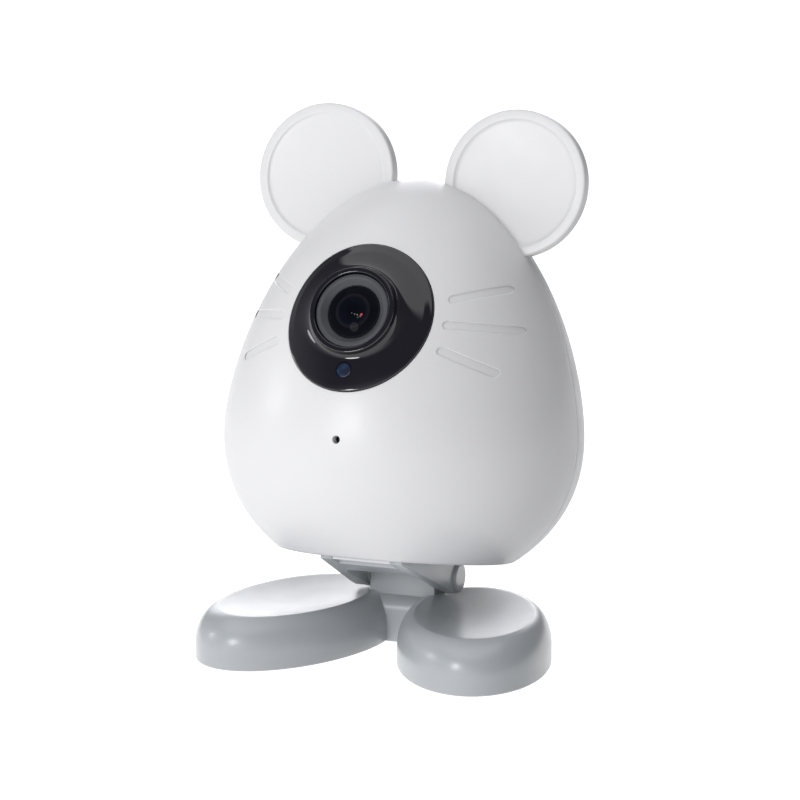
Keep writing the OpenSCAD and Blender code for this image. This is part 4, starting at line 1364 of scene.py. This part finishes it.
    def recess_rim(self, steps: int = 120) -> tuple[Array, Array]:
        """Edge of the port recess from behind: a rounded outline, cut short where the head curves away.

        Args:
            steps: Number of points.

        Returns:
            Points at the recess's floor, and the directions away from the recess.
        """
        length, height, corner = self.recess_size
        straight = (length / 2 - corner, height / 2 - corner)
        spokes = ring_of(1.0, steps)[1][:, :2]

        def inside(radii: Array) -> Array:
            """Whether points lie in the outline and deep enough in the head.

            Args:
                radii: Distance of each point from the outline's middle.

            Returns:
                True for each point that does.
            """
            at = radii[:, None] * spokes
            over = np.maximum(np.abs(at) - straight, 0)
            deep = EGG.ring(self.recess_up + at[:, 1]) ** 2 - at[:, 0] ** 2 > self.recess_back**2
            return (np.hypot(*over.T) < corner) & deep

        reach = furthest(inside, np.zeros(steps), np.full(steps, length))
        flat, away = outline_ring(reach[:, None] * spokes)
        place = shifted(0, self.recess_back, self.recess_up) @ turned(90, "X")
        return moved(flat, place), facing(away, place)

    def ports(self) -> list[Form]:
        """Tools that cut the port recess and the openings in its floor.

        Returns:
            The tools, in the order of their cuts.
        """
        points, away = self.recess_rim()
        tools = [bar(points, BACKWARD, HEAD), EGG.mouth(points, away, BACKWARD, self.recess_edge, HEAD)]
        usb_x, usb_w, usb_h = self.usb
        card_x, card_z, card_w, card_h = self.card
        button_x, button_r = self.button
        holes = ((usb_x, self.recess_up, stadium(usb_w, usb_h, 16)),
                 (card_x, card_z, soft_rectangle(card_w, card_h, self.card_corner)),
                 (button_x, self.recess_up, disc(button_r)))
        inward = -np.array(BACKWARD)
        for x, z, outline in holes:
            place = shifted(x, self.recess_back, z) @ turned(90, "X")
            flat, away = outline_ring(outline)
            rim, run = moved(flat, place), self.port_reach * inward
            tools.append(loft(np.array([rim + run, rim - run]), HEAD))
            walls = np.broadcast_to(inward, rim.shape)
            tools.append(edge_round(rim, facing(away, place), walls, self.hole_edge, HEAD))
        return tools

    def rear(self) -> Form:
        """Rear shell with its speaker grille, screw wells and port recess.

        Returns:
            The shell.
        """
        length, height, _ = self.recess_size
        half, rise = length / 2 + self.wall, height / 2 + self.wall
        shell = EGG.half(Side.REAR, self.rear_seam, self.seam_edge, HEAD)
        shell.cut(EGG.whole(self.wall, HEAD)).join(self.lip())
        low = (-half, self.recess_back - self.wall, self.recess_up - rise)
        high = (half, FAR, self.recess_up + rise)
        shell.join(block(low, high, HEAD).keep(EGG.whole(self.wall / 2, HEAD)))
        shell.cut(*self.ports())
        wells = [self.bore(shifted(x, 0, z) @ BACK_VIEW, self.well_r, 40, self.well_floor)
                 for x, z in self.screw_places]
        grille = [self.bore(shifted(x, 0, self.grille_up + z) @ BACK_VIEW, self.grille_r, 28)
                  for x, z in self.grille_places()]
        return self.bored(shell, wells + grille)

    def grille_places(self) -> list[Point]:
        """Places of the speaker's holes.

        Returns:
            X and Z from the middle of the grille.
        """
        rings = range(1, self.grille_rings + 1)
        turns = [(r * self.grille_pitch, math.radians(60 * k / r)) for r in rings for k in range(6 * r)]
        return [(0.0, 0.0)] + [(r * math.cos(a), r * math.sin(a)) for r, a in turns]

    def build(self) -> None:
        """Makes both shells."""
        self.front().piece("front_cover", Body.HEAD, Slot.HEAD_WHITE, ["front_shell"])
        self.rear().piece("rear_cover", Body.HEAD, Slot.HEAD_WHITE, ["rear_shell"])


@dataclass
class LensWindow:
    """Gloss-black window with the raised collar round the lens, the lens itself and the tinted indicator."""

    radius: float = 16.6
    proud: float = 0.35
    edge: float = 0.3
    depth: float = 2.0
    fit: float = 0.05
    bore_r: float = 8.55
    collar_h: float = 2.4
    collar_rim: float = 1.2
    collar_flare: float = 6.2
    collar_edge: float = 0.25
    flare_end: float = 262.0
    hollow: float = 2.4
    barrel_r: float = 8.4
    barrel_out: float = 1.9
    barrel_edge: float = 0.4
    barrel_rim: float = 0.5
    barrel_tail: float = 1.0
    slope_r: float = 7.1
    slope_drop: float = 0.25
    slope_soft: float = 0.2
    seat_run: float = 0.25
    seat_rise: float = 0.16
    seat_drop: float = 0.3
    ledge_w: float = 1.1
    ledge_drop: float = 3.3
    ledge_lean: float = 0.1
    glass_r: float = 5.95
    glass_set: float = 1.2
    glass_edge: float = 2.2
    glass_crown: float = 1.3
    glass_bevel: Point = (0.12, 0.1)
    indicator_r: float = 1.75
    indicator_l: float = 3.0
    indicator_drop: float = 13.2
    indicator_proud: float = 0.12
    indicator_crown: float = 0.1
    indicator_bevel: Point = (0.2, 0.25)
    steps: int = 160
    surface: float = field(init=False)

    def __post_init__(self) -> None:
        """Finds where the lens axis leaves the head."""
        start = np.array([[0.0, 0.0, FRAMES.lens_up]])
        self.surface = float(np.linalg.norm(EGG.hit(start, facing(UP, FRAMES.lens))[0] - start[0]))

    def skin(self, across: Array) -> Array:
        """Points of the window's face over places across the lens axis.

        Args:
            across: Local X and Y of each place.

        Returns:
            Points in the lens frame.
        """
        start = moved(np.column_stack([across, np.zeros(len(across))]), FRAMES.lens)
        face = EGG.hit(start, facing(UP, FRAMES.lens), -self.proud)
        return np.column_stack([across, np.linalg.norm(face - start, axis=1)])

    def reach(self, circle: Array) -> Array:
        """Distance of the window's edge from the lens axis.

        Args:
            circle: Directions across the axis, of length one.

        Returns:
            The distance in each direction.
        """
        back, count = FRAMES.window.inverted() @ FRAMES.lens, len(circle)

        def inside(radii: Array) -> Array:
            """Whether the face at these distances lies within the window's edge."""
            face = self.skin(radii[:, None] * circle)
            return np.hypot(*moved(face, back)[:, :2].T) < self.radius

        return furthest(inside, np.full(count, self.bore_r), np.full(count, 2 * self.radius))

    def collar(self) -> list[Point]:
        """Profile of the collar: up its bore, over its rim and down its flare.

        Returns:
            Radius and height of each point.
        """
        inner, top, bend = self.bore_r, self.surface + self.collar_h, self.collar_edge
        outer = inner + self.collar_rim
        rise = arc((inner + bend, top - bend), bend, 180, 90, 5)
        shoulder = math.degrees(math.asin(2 * bend / self.collar_flare))
        middle = (outer + self.collar_flare, top)
        flare = arc(middle, self.collar_flare, 180 + shoulder, self.flare_end, 26)
        fall = eased((outer - bend, top), (outer, top), flare[0], 5)
        return rise + fall + flare[1:]

    def window(self) -> Form:
        """The window with its collar, which runs into the face in a soft hollow.

        Returns:
            The window.
        """
        circle = ring_of(1.0, self.steps)[1][:, :2]
        limit = self.reach(circle)
        flat = limit - 2 * self.edge
        collar = self.collar()
        rings = [np.column_stack([self.bore_r * circle, np.full(self.steps, self.surface - self.depth)])]
        for radius, height in collar:
            face = self.skin(np.minimum(radius, flat)[:, None] * circle)
            near = np.maximum(0.0, 1 - np.abs(face[:, 2] - height) / self.hollow)
            face[:, 2] = np.maximum(face[:, 2], height) + self.hollow / 4 * near**2
            rings.append(face)
        last = np.minimum(collar[-1][0], flat)
        for share in (0.5, 1.0):
            rings.append(self.skin((last + share * (limit - self.edge - last))[:, None] * circle))
        inward = -facing(UP, FRAMES.lens.inverted() @ FRAMES.window)
        for bend in np.linspace(0, math.pi / 2, 6)[1:]:
            out = limit - self.edge * (1 - math.sin(bend))
            rings.append(self.skin(out[:, None] * circle) + self.edge * (1 - math.cos(bend)) * inward)
        rings.append(rings[-1] + (self.depth + self.proud) * inward)
        rim = moved(ring_of(self.indicator_r + self.fit)[0], shifted(y=-self.indicator_drop))
        return loft(np.array(rings), LENS, around=True).cut(bar(rim, UP, LENS))

    def barrel(self) -> Form:
        """Matte ring that holds the front glass.

        Returns:
            The ring.
        """
        tip, edge, seat = self.surface + self.barrel_out, self.barrel_edge, self.glass_r + self.fit
        bend = arc((self.barrel_r - edge, tip - edge), edge, 0, 90, 5)
        rim, floor = self.barrel_r - edge - self.barrel_rim, tip - self.glass_set
        slope = eased((rim, tip), (rim - self.slope_soft, tip), (self.slope_r, tip - self.slope_drop))
        start = (seat + self.seat_run, floor + self.seat_rise)
        foot = eased(start, (seat, floor), (seat, floor - self.seat_drop))
        base = floor - self.glass_edge - self.barrel_tail
        inner, ledge = seat - self.ledge_w, tip - self.ledge_drop
        inside = [(seat, ledge), (inner, ledge - self.ledge_lean), (inner, base), (self.barrel_r, base)]
        return revolved(bend + slope + foot + inside, LENS, 128)

    def glass(self) -> Form:
        """Crowned front glass.

        Returns:
            The glass.
        """
        rim = self.surface + self.barrel_out - self.glass_set
        bowl, (run, drop) = cap_radius(self.glass_r, self.glass_crown), self.glass_bevel
        radii = np.linspace(0, self.glass_r - run, 22)
        crown = [(r, rim + self.glass_crown - bowl + math.sqrt(bowl**2 - r * r)) for r in radii]
        back = rim - self.glass_edge
        return revolved([*crown, (self.glass_r, rim - drop), (self.glass_r, back), (0.0, back)], LENS, 96)

    def indicator(self) -> Form:
        """Small tinted window, a little domed and just proud of the face.

        Returns:
            The small window.
        """
        height, edge = float(self.skin(np.array([[0.0, -self.indicator_drop]]))[0, 2]), self.indicator_r
        top, back = height + self.indicator_proud, height - self.indicator_l
        run, drop = self.indicator_bevel
        dome = [(r, top - self.indicator_crown * (r / edge) ** 2) for r in np.linspace(0, edge - run, 10)]
        side = [(edge, height - drop), (edge, back), (0.0, back)]
        return revolved(dome + side, LENS @ shifted(y=-self.indicator_drop), 48)

    def build(self) -> None:
        """Makes the window, the lens and the indicator."""
        self.window().piece("lens_window", Body.HEAD, Slot.WINDOW_BLACK, ["ir_window"])
        self.barrel().piece("lens_ring", Body.HEAD, Slot.MATTE_BLACK, ["lens_barrel"])
        self.glass().piece("front_glass", Body.HEAD, Slot.LENS_GLASS, ["lens_front_glass"])
        self.indicator().piece("indicator", Body.HEAD, Slot.INDICATOR_BLUE, ["indicator_lens"])


# Stand


@dataclass
class Bracket:
    """Grey wedge under the head, with the two lugs of the hinge."""

    front: float = 21.7
    front_w: float = 19.4
    front_edge: float = 0.8
    lug_r: float = 3.7
    lug_in: float = 8.8
    lug_out: float = 12.4
    pocket_ahead: float = 6.2
    pocket_round: float = 3.0
    mouth_ahead: float = 18.2
    mouth_roof: float = 2.6
    tab_w: float = 14.0
    tab_l: float = 4.6
    fit: float = 0.1
    edge: float = 0.3

    def side_view(self) -> list[Point]:
        """Outline from the side: a flat top over a slope that runs into the round of the lugs.

        Returns:
            Y and Z of each point in the head's frame.
        """
        top = -EGG.under
        hinge, tip = (FRAMES.hinge_back, top - FRAMES.hinge_drop), (-self.front, top - self.front_edge)
        run, fall = hinge[0] - tip[0], hinge[1] - tip[1]
        slope = math.atan2(fall, run) - math.asin(self.lug_r / math.hypot(run, fall))
        lug = arc(hinge, self.lug_r, math.degrees(slope) - 90, 0, 24)
        return [tip, *lug, (hinge[0] + self.lug_r, top), (-self.front, top)]

    def top_view(self) -> list[Point]:
        """Outline from above: narrow in front and as wide as the lugs at the back.

        Returns:
            X and Y of each point in the head's frame.
        """
        half, wide = self.front_w / 2, self.lug_out
        side, back = FRAMES.hinge_back - self.lug_r - self.fit, FRAMES.hinge_back + 2 * self.lug_r
        front = [(-half, -self.front), (half, -self.front)]
        return front + [(wide, side), (wide, back), (-wide, back), (-wide, side)]

    def build(self) -> None:
        """Makes the bracket."""
        wedge = prism(self.side_view(), -self.lug_out, self.lug_out, HEAD @ SIDE_VIEW)
        wedge.keep(prism(self.top_view(), -FAR, 0, HEAD))
        pocket = (self.pocket_ahead, self.lug_in, FAR)
        mouth = (self.mouth_ahead, self.lug_in - self.fit, -self.mouth_roof)
        for ahead, width, roof in (pocket, mouth):
            outline = soft_rectangle(2 * width, 2 * FAR, self.pocket_round, 10)
            place = HEAD @ shifted(y=FRAMES.hinge_back - ahead + FAR)
            wedge.cut(prism(outline, -FAR, roof - EGG.under, place))
        wedge.cut(block((-self.tab_w / 2, -FAR, -FAR), (self.tab_w / 2, self.tab_l - self.front, 0), HEAD))
        wedge.cut(prism(disc(PIN_R), -FAR, FAR, FRAMES.axle))
        wedge.soften(self.edge)
        wedge.piece("tilt_wedge", Body.HEAD, Slot.STAND_GREY, ["tilt_bracket"])


@dataclass
class Stand:
    """Both oval feet, the bridge between them and the knuckle of the hinge, in one moulding."""

    foot_l: float = 58.0
    foot_w: float = 34.8
    rim: float = 11.8
    sole: float = 0.5
    sole_edge: float = 0.3
    side_rows: Point = (2.0, 3.2)
    fillet: float = 7.5
    crease: float = 8.0
    dish: float = 1.6
    spread: float = 21.6
    ahead: float = 12.0
    splay: float = 17.8
    wall: float = 2.4
    hollow_z: Point = (-1.0, 4.0)
    bridge_x: float = 10.0
    bridge_front: float = 4.0
    bridge_back: float = 9.0
    bridge_top: float = 11.3
    bridge_round: float = 4.0
    knuckle_r: float = 3.4
    knuckle_x: float = 8.0
    knuckle_edge: float = 0.3
    clear_r: float = 4.15
    clear_x: float = 13.5
    pin_over: float = 1.0

    def place(self, side: int) -> Matrix:
        """Frame of one foot, with its length along local Y."""
        return shifted(side * self.spread, -self.ahead) @ turned(side * self.splay, "Z")

    def foot(self, side: int) -> Form:
        """One foot: an oval with a large rounded edge and a dished top.

        Args:
            side: -1 for the foot at negative X, else 1.

        Returns:
            The foot.
        """
        half, bend, edge = self.foot_l / 2, self.fillet, self.sole_edge
        upper = arc((half - bend, self.rim - bend), bend, 0, 90 - self.crease, 22)
        rim_r, rim_z = upper[-1]
        bowl = cap_radius(rim_r, self.dish)
        radii = np.linspace(rim_r, 0, 28)
        dish = [(r, rim_z - self.dish + bowl - math.sqrt(bowl**2 - r * r)) for r in radii]
        soft = eased(upper[-2], upper[-1], dish[1], 6)
        lower = [(half - edge, self.sole), (half, self.sole + edge), *((half, z) for z in self.side_rows)]
        profile = lower + upper[:-2] + soft + dish[2:]
        return revolved(profile, self.place(side), 180, self.foot_w / self.foot_l)

    def hollow(self, side: int) -> Form:
        """Space inside a foot, which the sole closes.

        Args:
            side: -1 for the foot at negative X, else 1.

        Returns:
            The space.
        """
        long, wide = self.foot_l / 2 - self.wall, self.foot_w / 2 - self.wall
        low, high = self.hollow_z
        profile = [(0.0, low), (long, low), (long, high), (0.0, high)]
        return revolved(profile, self.place(side), 96, wide / long)

    def bridge(self) -> Form:
        """Bar between the feet, rounded along its top.

        Returns:
            The bar.
        """
        bend = self.bridge_round
        front = arc((bend - self.bridge_front, self.bridge_top - bend), bend, 180, 90, 10)
        back = arc((self.bridge_back - bend, self.bridge_top - bend), bend, 90, 0, 10)
        outline = [(-self.bridge_front, self.sole), *front, *back, (self.bridge_back, self.sole)]
        return prism(outline, -self.bridge_x, self.bridge_x, SIDE_VIEW)

    def knuckle(self) -> Form:
        """Barrel of the hinge with the block that carries it.

        Returns:
            Both in one.
        """
        hinge, radius, low = FRAMES.hinge, self.knuckle_r, self.bridge_top / 2
        top = arc((hinge.y, hinge.z), radius, 0, 180, 40)
        outline = [*top, (hinge.y - radius, low), (hinge.y + radius, low)]
        return prism(outline, -self.knuckle_x, self.knuckle_x, SIDE_VIEW).soften(self.knuckle_edge)

    def build(self) -> None:
        """Makes the stand."""
        stand = self.foot(-1).join(self.foot(1), self.bridge())
        stand.cut(prism(disc(self.clear_r, 72), -self.clear_x, self.clear_x, FRAMES.axle))
        stand.join(self.knuckle())
        reach = self.knuckle_x + self.pin_over
        stand.cut(prism(disc(PIN_R), -reach, reach, FRAMES.axle))
        stand.cut(self.hollow(-1), self.hollow(1))
        low, high = self.hollow_z
        front, back = self.wall - self.bridge_front, self.bridge_back - self.wall
        stand.cut(block((-self.bridge_x, front, low), (self.bridge_x, back, high), Matrix.Identity(4)))
        stand.piece("feet_and_bridge", Body.BASE, Slot.STAND_GREY, ["foot_base"])


class PlainPieces:
    """Solids whose own shape is right: each takes the finish of its slot."""

    def build(self) -> None:
        """Dresses every solid that no other piece stands for."""
        slots = {s["node"]: Slot(s["material_slot"]) for s in frame["record"]["subparts"]}
        for name, solid in sorted(frame["nodes"].items()):
            if solid.hide_render:
                continue
            for held in solid.material_slots:
                held.material = material_of(slots[name])
            LOG.info("%s: finish %s", name, slots[name].value)


# Studio


@dataclass(frozen=True)
class Lamp:
    """One studio light that faces the object."""

    name: str
    azimuth: float
    elevation: float
    distance: float
    size: float
    power: float

    def build(self, aim: Vector) -> None:
        """Makes the light.

        Args:
            aim: Point that it faces, in metres.
        """
        light = bpy.data.lights.new(self.name, "AREA")
        light.shape = "DISK"
        light.size = self.size
        light.energy = self.power
        lamp = bpy.data.objects.new(self.name, light)
        a, e = math.radians(self.azimuth), math.radians(self.elevation)
        away = Vector((math.sin(a) * math.cos(e), -math.cos(a) * math.cos(e), math.sin(e)))
        lamp.location = aim + self.distance * away
        lamp.rotation_mode = "QUATERNION"
        lamp.rotation_quaternion = (-away).to_track_quat("-Z", "Y")
        bpy.context.scene.collection.objects.link(lamp)


@dataclass(frozen=True)
class Glow:
    """Bright side of the room, which fades out around its middle."""

    middle: tuple[float, float, float]
    low: float
    high: float
    strength: float

    def seen(self, graph: Graph, way: Signal) -> Signal:
        """Light of this side along a direction.

        Args:
            graph: The room's nodes.
            way: The direction.

        Returns:
            The light's strength.
        """
        middle = tuple(Vector(self.middle).normalized())
        return graph.step(graph.along(way, middle), self.low, self.high) * self.strength


@dataclass
class Studio:
    """Camera, floor and soft light."""

    eye: tuple[float, float, float] = (235.36, -605.48, 180.22)
    look: tuple[float, float, float] = (-0.3573, 0.9151, -0.1870)
    lens: float = 130.38
    sensor: float = 36.0
    clip_start: float = 0.01
    floor_size: float = 16.0
    floor_colour: Colour = (0.4, 0.4, 0.4)
    floor_glow: float = 1.0
    aim: tuple[float, float, float] = (0.0, 0.0, 0.06)
    lamps: tuple[Lamp, ...] = (
        Lamp("left_spot", -70.0, 14.0, 0.4, 0.1, 0.13),
        Lamp("front_spot", -13.0, 14.0, 0.38, 0.1, 0.36),
    )
    dim: float = 0.19
    glows: tuple[Glow, ...] = (
        Glow((-0.85, -0.2, -0.45), 0.3, 0.9, 0.6),
        Glow((0.8, -0.5, -0.4), 0.3, 0.9, 0.12),
        Glow((0.05, -0.93, -0.36), 0.5, 0.9, 0.95),
        Glow((0.0, 0.0, 1.0), 0.765, 0.81, 1.15),
        Glow((-0.36, 0.87, 0.34), 0.9, 0.985, 2.5),
    )
    room_colour: Colour = (0.965, 0.97, 1.0)

    def camera(self) -> None:
        """Makes the camera."""
        data = bpy.data.cameras.new("camera")
        data.lens = self.lens
        data.sensor_width = self.sensor
        data.clip_start = self.clip_start
        camera = bpy.data.objects.new("camera", data)
        camera.location = Vector(self.eye) * MM
        camera.rotation_mode = "QUATERNION"
        camera.rotation_quaternion = Vector(self.look).to_track_quat("-Z", "Y")
        bpy.context.scene.collection.objects.link(camera)
        bpy.context.scene.camera = camera

    def floor(self) -> None:
        """Makes the pale floor."""
        half = self.floor_size / 2
        mesh = bpy.data.meshes.new("floor")
        corners = [(-half, -half, 0), (half, -half, 0), (half, half, 0), (-half, half, 0)]
        mesh.from_pydata(corners, [], [(0, 1, 2, 3)])
        floor = bpy.data.objects.new("floor", mesh)
        bpy.context.scene.collection.objects.link(floor)
        mesh.materials.append(bpy.data.materials.new("floor_white"))
        graph = Graph(mesh.materials[0])
        graph.set(base_color=self.floor_colour, roughness=1.0, specular_ior_level=0.0)
        graph.set(emission_color=(1.0, 1.0, 1.0), emission_strength=self.floor_glow)
        floor.visible_diffuse = floor.visible_shadow = False

    def light(self) -> None:
        """Makes the lamps and the light of the room, dim with brighter sides."""
        for lamp in self.lamps:
            lamp.build(Vector(self.aim))
        room = bpy.data.worlds.new("room")
        graph = Graph(room)
        way = graph.node("ShaderNodeTexCoord", output="Generated")
        strength: Signal | float = self.dim
        for glow in self.glows:
            strength = glow.seen(graph, way) + strength
        graph.set(color=self.room_colour, strength=strength)
        bpy.context.scene.world = room

    def build(self) -> None:
        """Makes the whole studio."""
        self.camera()
        self.floor()
        self.light()
        bpy.context.scene.view_settings.view_transform = "Standard"


def main() -> None:
    """Builds the studio and the object."""
    logging.basicConfig(level=logging.INFO, format="%(name)s: %(message)s")
    for part in (Studio(), HeadShell(), LensWindow(), Bracket(), Stand(), PlainPieces()):
        part.build()
        LOG.info("%s done", type(part).__name__)


if __name__ == "__main__":
    main()
